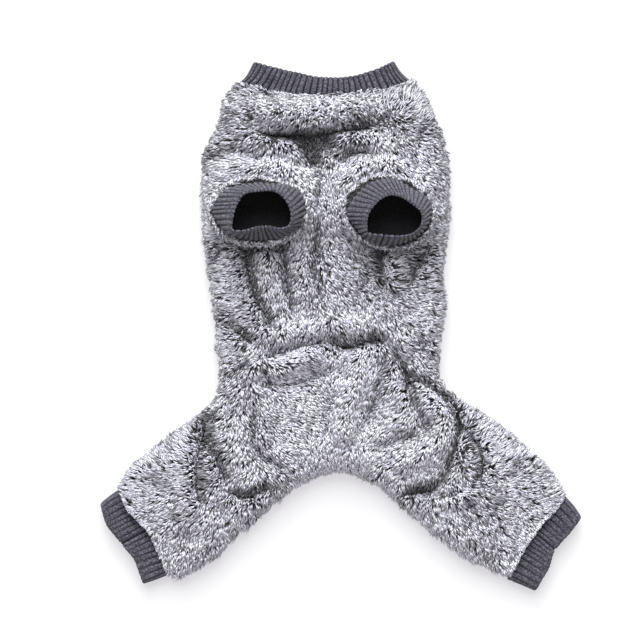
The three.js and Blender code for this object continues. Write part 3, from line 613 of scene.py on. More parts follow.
# %% [markdown]
# ## The pile
# Long-pile fleece is thousands of fine locks that cling together at the tips, pale at the tip and
# dark at the root. Hair particles could make it, but they don't travel with a model. So each lock
# is a small closed spindle of six faces: a root, a three-sided middle, and a tip that bends over.
# Locks in the same small patch share a tip and a direction, which gives the ragged tufts.

# %% Patches
PATCH, PATCH_SEED = 3.4, 11  # mm across a patch of locks that share a tip
TUFT, EDGE_TUFT, TUFT_SEED = 4.5, 3.6, 31  # mm across a tuft at the ribs and at the free edges

def patches(xy, size, seed):
    """The centre of the patch that each point is in, and a random number for each patch."""
    table = np.random.default_rng(seed).random((97, 89, 3))
    cell = np.floor(xy / size).astype(int)
    best = np.full(len(xy), FAR)
    centre, luck = np.zeros_like(xy), np.zeros(len(xy))
    for i in (-1, 0, 1):
        for j in (-1, 0, 1):
            at = cell + (i, j)
            drawn = table[at[:, 0] % len(table), at[:, 1] % len(table[0])]
            spot = (at + drawn[:, :2]) * size
            far = ((spot - xy) ** 2).sum(1)
            near = far < best
            best = np.where(near, far, best)
            centre = np.where(near[:, None], spot, centre)
            luck = np.where(near, drawn[:, 2], luck)
    return centre, luck
print("the patch round the middle has its centre at", patches(middle, PATCH, PATCH_SEED)[0].round(1))

# %% Where the roots go
def scatter(grid, per_mm2, seed, wrap=False):
    """Random points spread evenly over a grid of cloth, with the normal at each."""
    rng = np.random.default_rng(seed)
    if wrap:
        grid = np.concatenate([grid, grid[:, :1]], axis=1)
    normals = np.cross(np.gradient(grid, axis=1), np.gradient(grid, axis=0))
    normals /= np.maximum(np.linalg.norm(normals, axis=2, keepdims=True), 1e-9)
    a, b, c, d = grid[:-1, :-1], grid[:-1, 1:], grid[1:, 1:], grid[1:, :-1]
    area = np.linalg.norm(np.cross(c - a, d - b), axis=2) / 2
    total = area.sum()
    count = int(total * per_mm2)
    picks = (np.arange(count) + rng.random(count)) / count * total
    cell = np.minimum(np.searchsorted(np.cumsum(area), picks), area.size - 1)
    i, j = cell // area.shape[1], cell % area.shape[1]
    s, t = rng.random((2, count, 1))
    blend = lambda g: (g[i, j] * (1 - s) * (1 - t) + g[i, j + 1] * s * (1 - t)
                       + g[i + 1, j + 1] * s * t + g[i + 1, j] * (1 - s) * t)
    normal = blend(normals)
    return blend(grid), normal / np.linalg.norm(normal, axis=1, keepdims=True), rng
print("one lock in 10 square mm makes", len(scatter(cloth_grids["hind_panel"], 0.1, 0)[0]), "on the seat")

# %% How far tips may stand out past a free edge
HANG = (  # x along the lower edge, and how far the tips hang there
    (-139, 1), (-120, -0.8), (-103, -1), (-59, -0.6), (-45, 1), (-25, 2.4), (5, 1.4), (44, 2),
    (60, 0.4), (80, -1), (134, -1))
SIDES = ((-115, 2.4), (-98, 3.8), (-78, 3.8), (-55, 1.2), (-20, 0.5), (45, 0.5), (80, 1.8))  # y, the same
HANG_MORE, SIDES_MORE = 2.9, 1.2  # mm that the longest locks add
LOW_TUFTS, SIDE_TUFTS = 4.4, 3.0  # mm from the shortest to the longest tuft
ON_LINE = 0.1  # mm by which the lower edge may be farther than the nearest edge
TUFT_POINT = 0.8  # how pointed each tuft is
LOW_RAGGED, SIDE_RAGGED, RAGGED_BY = 5.0, 3.6, 0.7  # mm that single locks may fall short, and how often

def edge_reach(xy, tip_at, rng):
    low = to_line(xy, LOWER_EDGE)[0] < edge_distance(xy) + ON_LINE
    centre, luck = patches(tip_at, EDGE_TUFT, TUFT_SEED)
    plain = np.where(low, by_stops(xy[:, 0], HANG) + HANG_MORE, by_stops(xy[:, 1], SIDES) + SIDES_MORE)
    return (plain + np.where(low, LOW_TUFTS, SIDE_TUFTS) * (luck - 0.5)
            - TUFT_POINT * np.linalg.norm(tip_at - centre, axis=1)
            - np.where(low, LOW_RAGGED, SIDE_RAGGED) * rng.random(len(xy)) ** RAGGED_BY)
print("tips hang up to", max(hang for _, hang in HANG) + HANG_MORE + LOW_TUFTS / 2, "mm below the arch")

# %% Room in front of a rib seam or an armhole
SEWN_ENDS = [  # the seam line, and the way straight over it
    ([(-82.5, 195.5), (-48, 187.5), (-12, 184), (24, 186), (57.5, 197.5)], (0, 1)),
    (LEG_ENDS["leg_left"], (-0.87, -0.49)), (LEG_ENDS["leg_right"], (0.82, -0.57))]
SEAM_COVER, TUFT_COVER = 0.4, 1.6  # mm of rib that every lock may cover, and that tufts add
HOLE_INSET, HOLE_COVER = 3, 0.5  # mm that the armhole lies inside the sleeve, and that locks may cover
NO_LIMIT = 99.0
TOWARDS, LEAST_HEADING = 0.05, 0.3  # a lock heads for a seam from this cosine on, and counts as this

def room_ahead(xy, way, luck, armholes):
    """How far a lock may reach, seen from above, before it covers a rib seam or an armhole."""
    way = unit(way)
    room = np.full(len(xy), NO_LIMIT)
    for line, ahead in SEWN_ENDS:
        seam = to_line(xy, curve(line, np.linspace(0, 1, 25)))[0]
        heading = (way * ahead).sum(1)
        stop = (seam + SEAM_COVER + TUFT_COVER * luck) / np.clip(heading, LEAST_HEADING, 1)
        room = np.where(heading > TOWARDS, np.minimum(room, stop), room)
    for x, y, across, up in SLEEVE_BASES if armholes else []:
        dx, dy = xy[:, 0] - x, xy[:, 1] - y
        centre_far = np.hypot(dx, dy)
        ratio = np.hypot(dx / (across - HOLE_INSET), dy / (up - HOLE_INSET))
        hole = centre_far * (1 - 1 / np.maximum(ratio, 1e-6))
        heading = -(way[:, 0] * dx + way[:, 1] * dy) / centre_far
        stop = (hole + HOLE_COVER) / np.clip(heading, LEAST_HEADING, 1)
        room = np.where((heading > TOWARDS) & (hole > 0), np.minimum(room, stop), room)
    return room
print("room in front of the neck rib, 5 mm below it:",
      room_ahead(np.array([(-12.0, 179.0)]), np.array([(0.0, 1.0)]), 0.5, True).round(1), "mm")

# %% Each lock's own way
SWAY, SWAY_SIZE, SWAY_SEED = 28, 8, 21  # degrees that the nap sways, over so many mm
PATCH_TURN, LOCK_TURN = 36, 11  # degrees that whole patches and single locks turn
PARTING, CROSSING = 1.5, 11  # where the nap parts, locks turn so much more and cross over

def own_way(way, centre, luck, rng):
    parted = np.clip(1 - PARTING * np.linalg.norm(way, axis=1), 0, 1)
    turn = np.radians(SWAY * lumps(centre, SWAY_SIZE, SWAY_SEED) + PATCH_TURN * (luck - 0.5)
                      + rng.normal(0, LOCK_TURN, len(way)) * (1 + CROSSING * parted))
    c, s = np.cos(turn), np.sin(turn)
    return np.stack([way[:, 0] * c - way[:, 1] * s, way[:, 0] * s + way[:, 1] * c], 1)
print("a lock may turn", SWAY + PATCH_TURN / 2, "degrees with its patch, and about", LOCK_TURN, "on its own")

# %% Locks held back at edges and seams
EDGE_SPARE = 2.2  # mm that the middle of a lock stays behind its tip's limit
HELD_RISE = 0.35  # share of its lost reach by which a shortened lock stands up

def held_back(roots, normals, middle, tip, way, rng, floor):
    """Middle and tip again, with the distance to the free edge and the way out over it."""
    far, out = edge_facts(roots[:, :2])
    ahead = ((tip - roots)[:, :2] * out).sum(1)
    limit = far + edge_reach(roots[:, :2], tip[:, :2] + out * (far - ahead)[:, None], rng)
    for point, spare in ((middle, EDGE_SPARE), (tip, 0.0)):
        over = ((point - roots)[:, :2] * out).sum(1) - limit + spare
        point[:, :2] -= out * np.maximum(over, 0)[:, None]
    tuft = patches(roots[:, :2], TUFT, TUFT_SEED)[1]
    room = room_ahead(roots[:, :2], way, tuft, floor is None)
    reach = np.linalg.norm((tip - roots)[:, :2], axis=1)
    held = np.minimum(1, room / np.maximum(reach, 0.1))[:, None]
    lost = (1 - held) * reach[:, None] * HELD_RISE
    tip = np.hstack([roots[:, :2] + (tip - roots)[:, :2] * held, tip[:, 2:] + lost * np.sign(normals[:, 2:])])
    middle = np.hstack([roots[:, :2] + (middle - roots)[:, :2] * held, middle[:, 2:]])
    return middle, tip, far, out
print("the middle of a lock stays", EDGE_SPARE, "mm behind the limit of its tip")

# %% The shade of each lock
SHADE_LUMPS = (0.12, 16, 8)  # strength, distance in mm and seed
PAINTED_LIGHT_ALONG_Y = ((-60, 0.06), (20, 0), (110, -0.04), (165, -0.08), (190, -0.17))  # y, painted light towards the seat and painted shade towards the neck, where locks face the lamps
SEAT, SEAT_PAINTED_LIGHT, SEAT_SIZE = (0, -64), 0.19, 58  # painted light, strongest on the seat
ARCH_PAINTED_LIGHT, ARCH_SIZE = 0.25, 8  # and painted light on the locks along the lower edge, which face away from the lamps
LIT_EDGE_PAINTED_SHADE, LIT_SIZE = 0.45, 6  # painted shade where an edge faces the light
LIP_MORE, LIP_FULL = 1.5, 16  # for the painted fold shade a tip counts as so many mm less deep, everywhere and on the roll
FOLD_PAINTED_LIGHT_AND_SHADE = (0.06, 15, -0.35, 0.17)  # painted light on rolls and painted shade in troughs: on flat cloth, mm of lift for one step paler, least and most
TROUGH_PAINTED_SHADE = (9, 8, -0.7)  # painted shade in deep troughs: from this depth in mm, one step darker over so many mm, down to this
PALE, DARK, SHADE_VARIES = 0.82, 0.24, 0.34
PALE_SHARE, BY_PATCH, BY_SHIFT = 0.63, 0.3, 0.8  # share of frosted locks, and what changes it
SHIFT_ALL, DARKEST, PALEST = 0.6, 0.02, 0.97
STAY_PALER, IN_DARK = 0.2, 2.5  # how much paler a few locks stay, and how soon, in painted shade

def lip(roots):
    """How much the roll at the neck overhangs the fold below it, from 0 to 1."""
    return (by_stops(roots[:, 1], ((157, 0), (160, 1), (170, 1), (176, 0)))
            * by_stops(roots[:, 0], ((-74, 0), (-62, 1), (-8, 1), (12, 0.3), (30, 0))))

# random tone from soft lumps, plus painted light and painted shade along y, on the seat, at the edges and on
# the folds
def tone_and_painted_shading(roots, tip, edge, folded):
    strength, size, seed = SHADE_LUMPS
    shift = strength * lumps(roots[:, :2], size, seed) + by_stops(roots[:, 1], PAINTED_LIGHT_ALONG_Y)
    shift += SEAT_PAINTED_LIGHT * np.exp(-((roots[:, :2] - SEAT) ** 2).sum(1) / SEAT_SIZE ** 2)
    if edge:
        far, out = edge
        shift += ARCH_PAINTED_LIGHT * np.exp(-to_line(roots[:, :2], LOWER_EDGE)[0] / ARCH_SIZE)
        shift -= LIT_EDGE_PAINTED_SHADE * np.exp(-far / LIT_SIZE) * np.clip(out[:, 1], 0, 1)
    if folded:  # troughs get painted shade, and rolls a little painted light
        deep = np.minimum(fold_lift(roots[:, :2]), fold_lift(tip[:, :2]) + LIP_MORE + LIP_FULL * lip(roots))
        plain, step, least, most = FOLD_PAINTED_LIGHT_AND_SHADE
        start, over, darkest = TROUGH_PAINTED_SHADE
        shift = shift + np.clip(plain + deep / step, least, most) + np.clip((deep + start) / over, darkest, 0)
    return shift

def shades(shift, luck, rng):
    """From 0, dark all along, to 1, frosted. In the darkest painted shade a few stay paler."""
    frosted = rng.random(len(shift)) < PALE_SHARE + BY_PATCH * (luck - 0.5) + shift * BY_SHIFT
    shade = np.where(frosted, PALE, DARK) + SHADE_VARIES * (rng.random(len(shift)) - 0.5)
    darkest = DARKEST + STAY_PALER * rng.random(len(shift)) ** 3 * np.clip(-IN_DARK * shift, 0, 1)
    return np.clip(shade + shift * SHIFT_ALL, darkest, PALEST)
chest = np.array([(0.0, 100.0, 20.0)])
print("the flat chest is shifted by", tone_and_painted_shading(chest, chest, None, False).round(2))

# %% Growing locks
LOCK_LONG = 8.6  # mm, before luck
SHORTEST, PATCH_LONGER, LOCK_LONGER = 0.78, 0.3, 0.22  # share of that length, and what luck adds
FOLD_SHORTER, FULL_DEPTH = 0.25, 12  # locks are that much shorter in a trough so many mm deep
ARCH_LONGER, ARCH_REACH = 0.3, 9  # and that much longer within so many mm of the lower edge
LEAST_LIFT, LUCK_LIFT, LEAN = 0.8, 0.4, 0.55  # how steeply a lock starts, and what it loses along the cloth
BEND_AT, PAST_BEND = 0.58, 0.42  # shares of a lock before and after it bends
SHARED_LIFT, SHARED_AT = 0.8, 0.85  # how high and how far out a patch has its shared point
SHARED_PULL, EDGE_PULL, EDGE_PULL_SIZE = 0.35, 0.3, 6  # how far tips go to their shared point
MIDDLE_PULL = 0.4  # share of that pull which the bend follows
FLOOR_SPARE = 0.5  # mm that the middle of a lock stays above the floor its tip lies on
THINNEST, LUCK_WIDER = 0.75, 0.5  # share of the width, and what luck adds

def locks(roots, normals, way, rng, length=LOCK_LONG, rise=0.56, droop=0.16, width=1.45,
          floor=None, folded=False, edges=True):
    """Root, middle, tip, width and shade of every lock. The order of the random draws fixes the look."""
    count = len(roots)
    centre, luck = patches(roots[:, :2], PATCH, PATCH_SEED)
    way = own_way(way, centre, luck, rng)
    flat = np.column_stack([way, np.zeros(count)])
    flat -= normals * (flat * normals).sum(1, keepdims=True)
    flat = unit(flat)
    size = length * (SHORTEST + PATCH_LONGER * luck + LOCK_LONGER * rng.random(count))[:, None]
    if edges:
        size *= 1 + ARCH_LONGER * np.exp(-to_line(roots[:, :2], LOWER_EDGE)[0] / ARCH_REACH)[:, None]
    if folded:
        size *= 1 - FOLD_SHORTER * np.clip(-fold_lift(roots[:, :2]) / FULL_DEPTH, 0, 1)[:, None]
    lift = rise * (LEAST_LIFT + LUCK_LIFT * rng.random(count))[:, None]
    middle = roots + unit(normals * lift + flat * (1 - lift * LEAN)) * size * BEND_AT
    shared = np.column_stack([centre, roots[:, 2]])
    shared = shared + unit(normals * lift * SHARED_LIFT + flat) * size * SHARED_AT
    tip = middle + unit(normals * droop + flat) * size * PAST_BEND
    pull = SHARED_PULL
    if edges:
        pull = (pull + EDGE_PULL * np.exp(-edge_distance(roots[:, :2]) / EDGE_PULL_SIZE))[:, None]
    tip = tip * (1 - pull) + shared * pull
    middle = middle * (1 - pull * MIDDLE_PULL) + (roots + tip) / 2 * pull * MIDDLE_PULL
    edge = None
    if edges:
        middle, tip, *edge = held_back(roots, normals, middle, tip, way, rng, floor)
    if floor is not None:
        middle[:, 2] = np.maximum(middle[:, 2], floor + FLOOR_SPARE)
        tip[:, 2] = np.maximum(tip[:, 2], floor)
    wide = width * (THINNEST + LUCK_WIDER * rng.random(count))[:, None]
    return roots, middle, tip, wide, shades(tone_and_painted_shading(roots, tip, edge, folded), luck, rng)
print("locks are", round(LOCK_LONG * SHORTEST, 1), "to",
      round(LOCK_LONG * (SHORTEST + PATCH_LONGER + LOCK_LONGER), 1), "mm long")

# %% Locks as one mesh
CORNER_TURN = 0.3  # radians, so that no corner points straight up
SLANT = (0.31, 0.22, 0.92)  # a direction that no lock follows
SUNK = 0.12  # share of the lower half that is hidden in the cloth
SIDE_STEP = 0.02  # so that the three sides of a lock differ a little
UP_LOCK = (0.0, 0.6, 0.6, 0.6, 1.0)  # height on the map of root, middle corners and tip
LEAST_UP, UP_BY_SHADE = 0.35, 7  # the darkest locks, a few dark ones and those in painted trough shade, only use the lower part of the map
LOCK_FACES = np.array([(0, 2, 1), (0, 3, 2), (0, 1, 3), (4, 1, 2), (4, 2, 3), (4, 3, 1)])

def pile_object(name, groups):
    """All locks of a piece. The map holds a lock's shade across, and the way from root to tip upwards."""
    roots, middle, tip, wide, shade = (np.concatenate([g[k] for g in groups]) for k in range(5))
    axis = unit(tip - roots)
    side = unit(np.cross(axis, SLANT))
    other = np.cross(axis, side)
    sunk = roots - (middle - roots) * SUNK
    corners = [middle + (side * math.cos(a) + other * math.sin(a)) * wide / 2
               for a in (CORNER_TURN, CORNER_TURN + 2 * math.pi / 3, CORNER_TURN + 4 * math.pi / 3)]
    points = np.stack([sunk, *corners, tip], 1).reshape(-1, 3)
    start = (np.arange(len(roots)) * 5)[:, None, None]
    faces = (start + LOCK_FACES).reshape(-1, 3)
    across = np.stack([shade, shade - SIDE_STEP, shade, shade + SIDE_STEP, shade], 1)
    up = np.array(UP_LOCK) * np.clip(LEAST_UP + shade * UP_BY_SHADE, LEAST_UP, 1)[:, None]
    uv = np.stack([across.ravel(), up.ravel()], 1)[faces.ravel()]
    return mesh_object(name, points, faces, uv=uv, uv_name="OFBake")
print("a lock has", LOCK_FACES.max() + 1, "points and", len(LOCK_FACES), "faces")

# %% Pile on the panels
TOP_DENSITY, UNDER_DENSITY = 0.75, 0.3  # locks in a square millimetre
PRESSED = dict(length=8.0, rise=0.25, droop=0.1, width=1.7, floor=0.15)  # pile that lies on the floor

def density(under):
    return UNDER_DENSITY if under else TOP_DENSITY

def grow(roots, normals, rng, under):
    normals *= np.where(normals[:, 2:] * (-1 if under else 1) < 0, -1, 1)
    way = nap_way(roots[:, :2], *edge_facts(roots[:, :2]))
    look = PRESSED if under else dict(folded=True)
    return locks(roots, normals, way, rng, **look)

def in_armhole(xy, row, inset):
    x, y, across, up, down, turn = row
    c, s = math.cos(math.radians(-turn)), math.sin(math.radians(-turn))
    px, py = xy[:, 0] - x, xy[:, 1] - y
    px, py = px * c - py * s, px * s + py * c
    return (px / (across - inset)) ** 2 + (py / (np.where(py > 0, up, down) - inset)) ** 2 < 1

pile = {}
for seed, name in enumerate(PANELS):
    under = name == "back_panel"
    roots, normals, _ = scatter(cloth_grids[name], density(under), 100 + seed)
    if not under:
        holes = [in_armhole(roots[:, :2], rings[0], PILE_ROOM - 1) for rings in SLEEVE_RINGS.values()]
        keep = ~np.any(holes, axis=0)
        roots, normals = roots[keep], normals[keep]
    group = grow(roots, normals, np.random.default_rng(200 + seed), under)
    pile[name] = pile_object(name + "_pile", [group])
    print(name, len(roots), "locks")

# %% Pile on the legs
for seed, name in enumerate(LEG_ENDS):
    grid, groups = cloth_grids[name], []
    below = np.concatenate([grid[:, LEG_TOP - 1:], grid[:, :1]], axis=1)
    for under, part in ((False, grid[:, :LEG_TOP]), (True, below)):
        roots, normals, rng = scatter(part, density(under), 300 + seed * 2 + under)
        groups.append(grow(roots, normals, rng, under))
    pile[name] = pile_object(name + "_pile", groups)
    print(name, sum(len(g[0]) for g in groups), "locks")

# %% Pile on the sleeves
LEVEL_FROM, LEVEL_RISE = 28, 11  # above this height the locks begin to stand up, over so many mm
STAND_LOW, STAND_MORE = 0.1, 0.55  # how steeply they point up there, and what they gain
BARE_Z, CLEAR = 27, 1  # roots grow from this height, or where the belly lies lower than the sleeve
SWIRL = 0.8  # how much the locks turn to the left or right on their way out

for seed, name in enumerate(SLEEVE_RINGS):
    grid = cloth_grids[name][2:]
    roots, _, rng = scatter(grid, TOP_DENSITY, 400 + seed, wrap=True)
    centre = grid.reshape(-1, 3).mean(0)
    away = unit((roots - centre) * (1, 1, 0))
    belly = top_height((roots + away * 5)[:, :2]) - PILE_ROOM
    bare = (roots[:, 2] > BARE_Z) | (belly < roots[:, 2] - CLEAR)
    roots, away = roots[bare], away[bare]
    swirl = rng.normal(0, SWIRL, (len(roots), 1)) * np.column_stack([-away[:, 1], away[:, 0]])
    level = np.clip((roots[:, 2:] - LEVEL_FROM) / LEVEL_RISE, 0, 1)
    stand = unit(np.column_stack([away[:, :2], STAND_LOW + STAND_MORE * level]))
    group = locks(roots, stand, away[:, :2] + swirl, rng, length=7.2, rise=0.5, droop=0.1, edges=False)
    pile[name] = pile_object(name + "_pile", [group])
    print(name, len(roots), "locks")

# %% [markdown]
# ## Rib-knit bands
# Rib knit is a double cloth whose wales stand up like cords. A painted stripe would look flat at the
# edge, so the ribs are real relief: every band is one ring of points round its section, pushed in at
# each groove, and rolled over at the free edge where the knit is folded. The neck and leg bands lie
# pressed flat, and the sleeve cuffs stand up, so there are two kinds of section.

# %% Small dents in the bands
BAND_DENTS = [  # lift in mm, width, then a line
    (-2.6, 5, (-172, -150), (-161, -158)), (-2.2, 4, (-153, -168), (-148, -174)),
    (-2.6, 5, (158, -160), (165, -158)), (-3.4, 4, (-58, 187), (-56, 194)),
    (1.2, 7, (-30, 192), (0, 190)), (1.0, 7, (-184, -148), (-176, -162))]

def band_dents(xy):
    dent = np.zeros(len(xy))
    for high, wide, *line in BAND_DENTS:
        dent += high * np.exp(-((to_line(xy, line)[0] / wide) ** 2))
    return dent
print(len(BAND_DENTS), "dents")

# %% Section of a band pressed flat
BAND_HALF = 6.3  # half its thickness, and the radius of its rounded sides
NEARBY = 0.02  # share of a line to either side over which its direction is measured

def flat_section(rows, t, around):
    """Over the top from outer to inner side, round the end and back below."""
    rows = np.array(rows, float)
    line = between(rows.reshape(len(rows), -1), [t * (len(rows) - 1)])[0].reshape(-1, 2)
    width = np.linalg.norm(np.diff(curve(line, np.linspace(0, 1, 30)), axis=0), axis=1).sum()
    straight, turn = width - 2 * BAND_HALF, math.pi * BAND_HALF
    walked = around % 1.0 * 2 * (straight + turn)
    part = np.searchsorted(np.cumsum([straight, turn, straight]), walked, side="right")
    on = walked - np.array([0, straight, straight + turn, 2 * straight + turn])[part]
    angle = np.where(part == 1, math.pi / 2 - on / BAND_HALF, -math.pi / 2 - on / BAND_HALF)
    bent = part % 2 == 1
    out = np.where(bent, np.cos(angle), 0)
    up = np.where(bent, np.sin(angle), np.where(part == 0, 1, -1))
    across = np.select(
        [part == 0, part == 1, part == 2],
        [BAND_HALF + on, BAND_HALF + straight + BAND_HALF * out, BAND_HALF + straight - on],
        BAND_HALF + BAND_HALF * out)
    share = across / width
    way = unit(curve(line, np.clip(share + NEARBY, 0, 1)) - curve(line, np.clip(share - NEARBY, 0, 1)))
    place = curve(line, share)
    z = EDGE_Z + BAND_HALF * up + np.where(up > 0, up * band_dents(place), 0)
    return np.column_stack([place, z]), np.column_stack([way * out[:, None], up])
print("a flat band is", 2 * BAND_HALF, "mm thick")

# %% Section of a cuff that stands up
CUFF_Z, CUFF_RISE = 39.3, 16
DRAWN_EVENLY, DRAWN_LATE = 0.75, 0.25  # how the cuff narrows on its way up

def upright_section(pairs, t, around):
    """Between a ring at its sleeve and a smaller ring at its mouth."""
    pairs = np.array(pairs, float)

    def ring_at(points, place):
        return between(np.vstack([points[-1:], points, points[:2]]), place % len(points) + 1)
    fine = np.linspace(0, len(pairs), 281)
    steps = np.linalg.norm(np.diff(ring_at(pairs[:, :2], fine), axis=0), axis=1)
    long = np.concatenate([[0], np.cumsum(steps)])
    place = np.interp(around % 1.0, long / long[-1], fine)
    drawn = DRAWN_EVENLY * t + DRAWN_LATE * t * t
    xy = ring_at(pairs[:, :2] * (1 - drawn) + pairs[:, 2:] * drawn, place)
    line = np.roll(xy, -1, 0) - np.roll(xy, 1, 0)
    normal = unit(np.column_stack([-line[:, 1], line[:, 0], np.zeros(len(xy))]))
    return np.column_stack([xy, np.full(len(xy), CUFF_Z + CUFF_RISE * t)]), normal
print("a sleeve cuff goes from", CUFF_Z, "to", round(CUFF_Z + CUFF_RISE, 1), "mm")

# %% Up the band and over its edge
RIB_WALL, RIB_RELIEF = 2.7, 1.12  # thickness of the doubled knit, and depth of a groove, in mm
SAMPLES, BAND_ROWS, ROLL_ROWS = 8, 14, 7  # points across a rib, rows up the band and over its edge

def rib_path(long):
    """Up the outside, over the free edge and down the inside: height share, turn, and mm inwards."""
    r = RIB_WALL / 2
    top = 1 - r / long
    path = [(t, 0.0, 0.0) for t in np.linspace(0, top, BAND_ROWS)]
    path += [(top, a, r * (1 - math.cos(a))) for a in np.linspace(0, math.pi, ROLL_ROWS)[1:-1]]
    return path + [(t, math.pi, RIB_WALL) for t in np.linspace(top, 0, BAND_ROWS)]
print("a band has", len(rib_path(20.0)), "rows of points")

# %% The rings joined into a closed band
CLOSE_V = 2.2  # height on the map where the last row joins the first again, inside

def closed_band(name, rings, along_uv, faded):
    """The rings joined round and round, with a map of ribs across and height up, and how far the painted
    groove shade fades.
    """
    rows_all, count = rings.shape[:2]
    i, j = np.meshgrid(np.arange(rows_all), np.arange(count), indexing="ij")
    k, n = (j + 1) % count, (i + 1) % rows_all
    faces = np.stack([i * count + j, i * count + k, n * count + k, n * count + j], -1).reshape(-1, 4)
    points = rings.reshape(-1, 3)
    u = np.stack([j, j + 1, j + 1, j], -1) / SAMPLES
    v = np.array(along_uv + [CLOSE_V])
    uv = np.stack([u, np.stack([v[i], v[i], v[i + 1], v[i + 1]], -1)], -1).reshape(-1, 4, 2)
    turned = outward(faces, points)
    band = mesh_object(name, points, turned, uv=uv if turned is faces else uv[:, ::-1], uv_name="rib_uv")
    band.data.attributes.new("groove_fade", "FLOAT", "POINT").data.foreach_set("value", faded.ravel())
    return band
print("a band of 40 ribs will have", 40 * SAMPLES * len(rib_path(20.0)), "faces")

# %% One ribbed band
GROOVE_WIDE, SEAM_WIDE = 0.2, 1.3  # share of a rib, and points
SHALLOW, LUCK_DEEPER = 0.7, 0.6  # share of the depth of a groove, and what luck adds
SEAM_DEEP, SEAM_DARK = 1.2, 4  # mm, and how much darker a cross seam is
DRIFT, SWAY_UP, FRILL = 0.22, 0.14, 0.22  # how uneven the ribs' spacing, slant and free edge are

def ribbed_band(name, table, section, ribs, seams, groove_fade):
    count = ribs * SAMPLES
    rng = np.random.default_rng(ribs + len(name))

    def waver(size):
        drawn = rng.normal(0, 1, size)
        return np.interp(np.arange(count), np.linspace(0, count, size + 1), np.r_[drawn, drawn[0]])
    drift = waver(ribs // 3) * DRIFT * SAMPLES
    sway = waver(ribs // 4) * SWAY_UP * SAMPLES
    frill = waver(ribs // 2) * FRILL
    at = lambda t: section(table, t, (np.arange(count) + drift + sway * (t - 0.5)) / count)
    long = float(np.linalg.norm(at(1.0)[0] - at(0.0)[0], axis=1).mean())
    phase = (np.arange(count) % SAMPLES) / SAMPLES
    groove = np.exp(-((np.minimum(phase, 1 - phase) / GROOVE_WIDE) ** 2))
    luck = rng.random(ribs)[np.arange(count) // SAMPLES]
    off = (np.arange(count) - np.array(seams)[:, None] * count + count / 2) % count - count / 2
    seam_mark = np.exp(-((off / SEAM_WIDE) ** 2)).sum(0)
    rings, along_uv = [], []
    for t, turn, inset in rib_path(long):
        points, normal = at(t)
        along = unit(at(min(t + NEARBY, 1))[0] - at(max(t - NEARBY, 0))[0])
        relief = -RIB_RELIEF * (1 - np.interp(t, [0, 1], groove_fade)) * groove * (SHALLOW + LUCK_DEEPER * luck)
        relief = relief - SEAM_DEEP * seam_mark
        out = relief * math.cos(turn) - inset
        ahead = math.sin(turn) * (RIB_WALL / 2 + relief) + frill * t
        rings.append(points + normal * out[:, None] + along * ahead[:, None])
        along_uv.append(t if turn < 3 else 2 - t)
    # painted groove shade, fading up the band and stronger beside a cross seam
    faded = np.interp(along_uv, [0, 1], groove_fade)[:, None] - SEAM_DARK * seam_mark[None]
    return closed_band(name, np.stack(rings), along_uv, faded)
deepest_groove = RIB_RELIEF * (SHALLOW + LUCK_DEEPER)
print("grooves are", round(RIB_RELIEF * SHALLOW, 1), "to", round(deepest_groove, 1), "mm deep")

# %% The five bands
BANDS = {  # rows from the fleece to the free edge, how they are laid, ribs, seams, how far ribs fade
    "neck_band": (
        [[(-82.5, 195.0), (-48, 187), (-12, 183.5), (24, 185.5), (56.5, 196.5)],
         [(-76, 200.8), (-45.5, 195.5), (-12.3, 191), (20.5, 193.5), (48.5, 203.5)],
         [(-70, 212.3), (-42.5, 204.6), (-12.5, 199), (16.5, 201.8), (42.8, 212.5)]],
        flat_section, 64, [], (0, 0.35)),
    "leg_cuff_left": (
        [[(-177, -130.3), (-168, -148.2), (-153.4, -162.6), (-145, -180.8), (-139, -200)],
         [(-186, -136.4), (-178.5, -153.2), (-165.3, -168.8), (-155.6, -184.2), (-149.2, -204)],
         [(-193, -142.3), (-188, -158), (-176.2, -174.5), (-165.4, -187.5), (-158.2, -207)]],
        flat_section, 40, [0.1945, 0.2055], (0.25, 0.8)),
    "leg_cuff_right": (
        [[(179.4, -135.8), (165.4, -152), (153, -166.4), (143.6, -182.4), (133.6, -203.4)],
         [(187.3, -144.5), (175, -159.8), (163, -173.4), (155, -189), (145, -208)],
         [(193, -153), (182.5, -167), (171.3, -179.5), (165.8, -195), (155.3, -212.5)]],
        flat_section, 40, [0.1695, 0.1805], (0.25, 0.8)),
    "sleeve_cuff_left": (
        [(-93, 75, -87.8, 75.4), (-101, 86, -86.8, 87), (-102, 97, -83, 97.5), (-93, 108.5, -77, 105.8),
         (-74, 113.7, -65.5, 108.4), (-55, 114, -53.5, 108.4), (-41, 112.5, -46.5, 104.4),
         (-31, 106.5, -40.8, 97), (-28, 93, -38.2, 87.5), (-31.5, 80.5, -40, 78.6),
         (-40.5, 72.5, -48.5, 75.6), (-54, 68.3, -59, 77.6), (-69, 68, -68, 76.4), (-83, 70, -78, 73.6)],
        upright_section, 42, [0.8095], (-0.8, 0.65)),
    "sleeve_cuff_right": (
        [(18, 69.5, 20.3, 72.3), (10.5, 79, 18.6, 79.5), (4.5, 88, 20, 87), (7, 98, 24, 94.8),
         (15.5, 109, 30.5, 101.3), (30, 117, 39.6, 104.8), (44, 117.3, 48.5, 103),
         (57, 109.5, 56.3, 98.3), (69.5, 102.5, 63.4, 92.6), (72.7, 91, 65.8, 85.3), (68, 77.5, 64, 77.6),
         (57.5, 68.5, 56.4, 71.4), (45, 64.3, 47, 69.6), (30, 63.3, 33, 70.4)],
        upright_section, 42, [0.9286, 0.0238], (-0.8, 0.65))}
bands = {}
for name, (table, section, ribs, seams, groove_fade) in BANDS.items():
    bands[name] = ribbed_band(name + "_ribs", table, section, ribs, seams, groove_fade)
    print(name, ribs, "ribs,", len(bands[name].data.polygons), "faces")

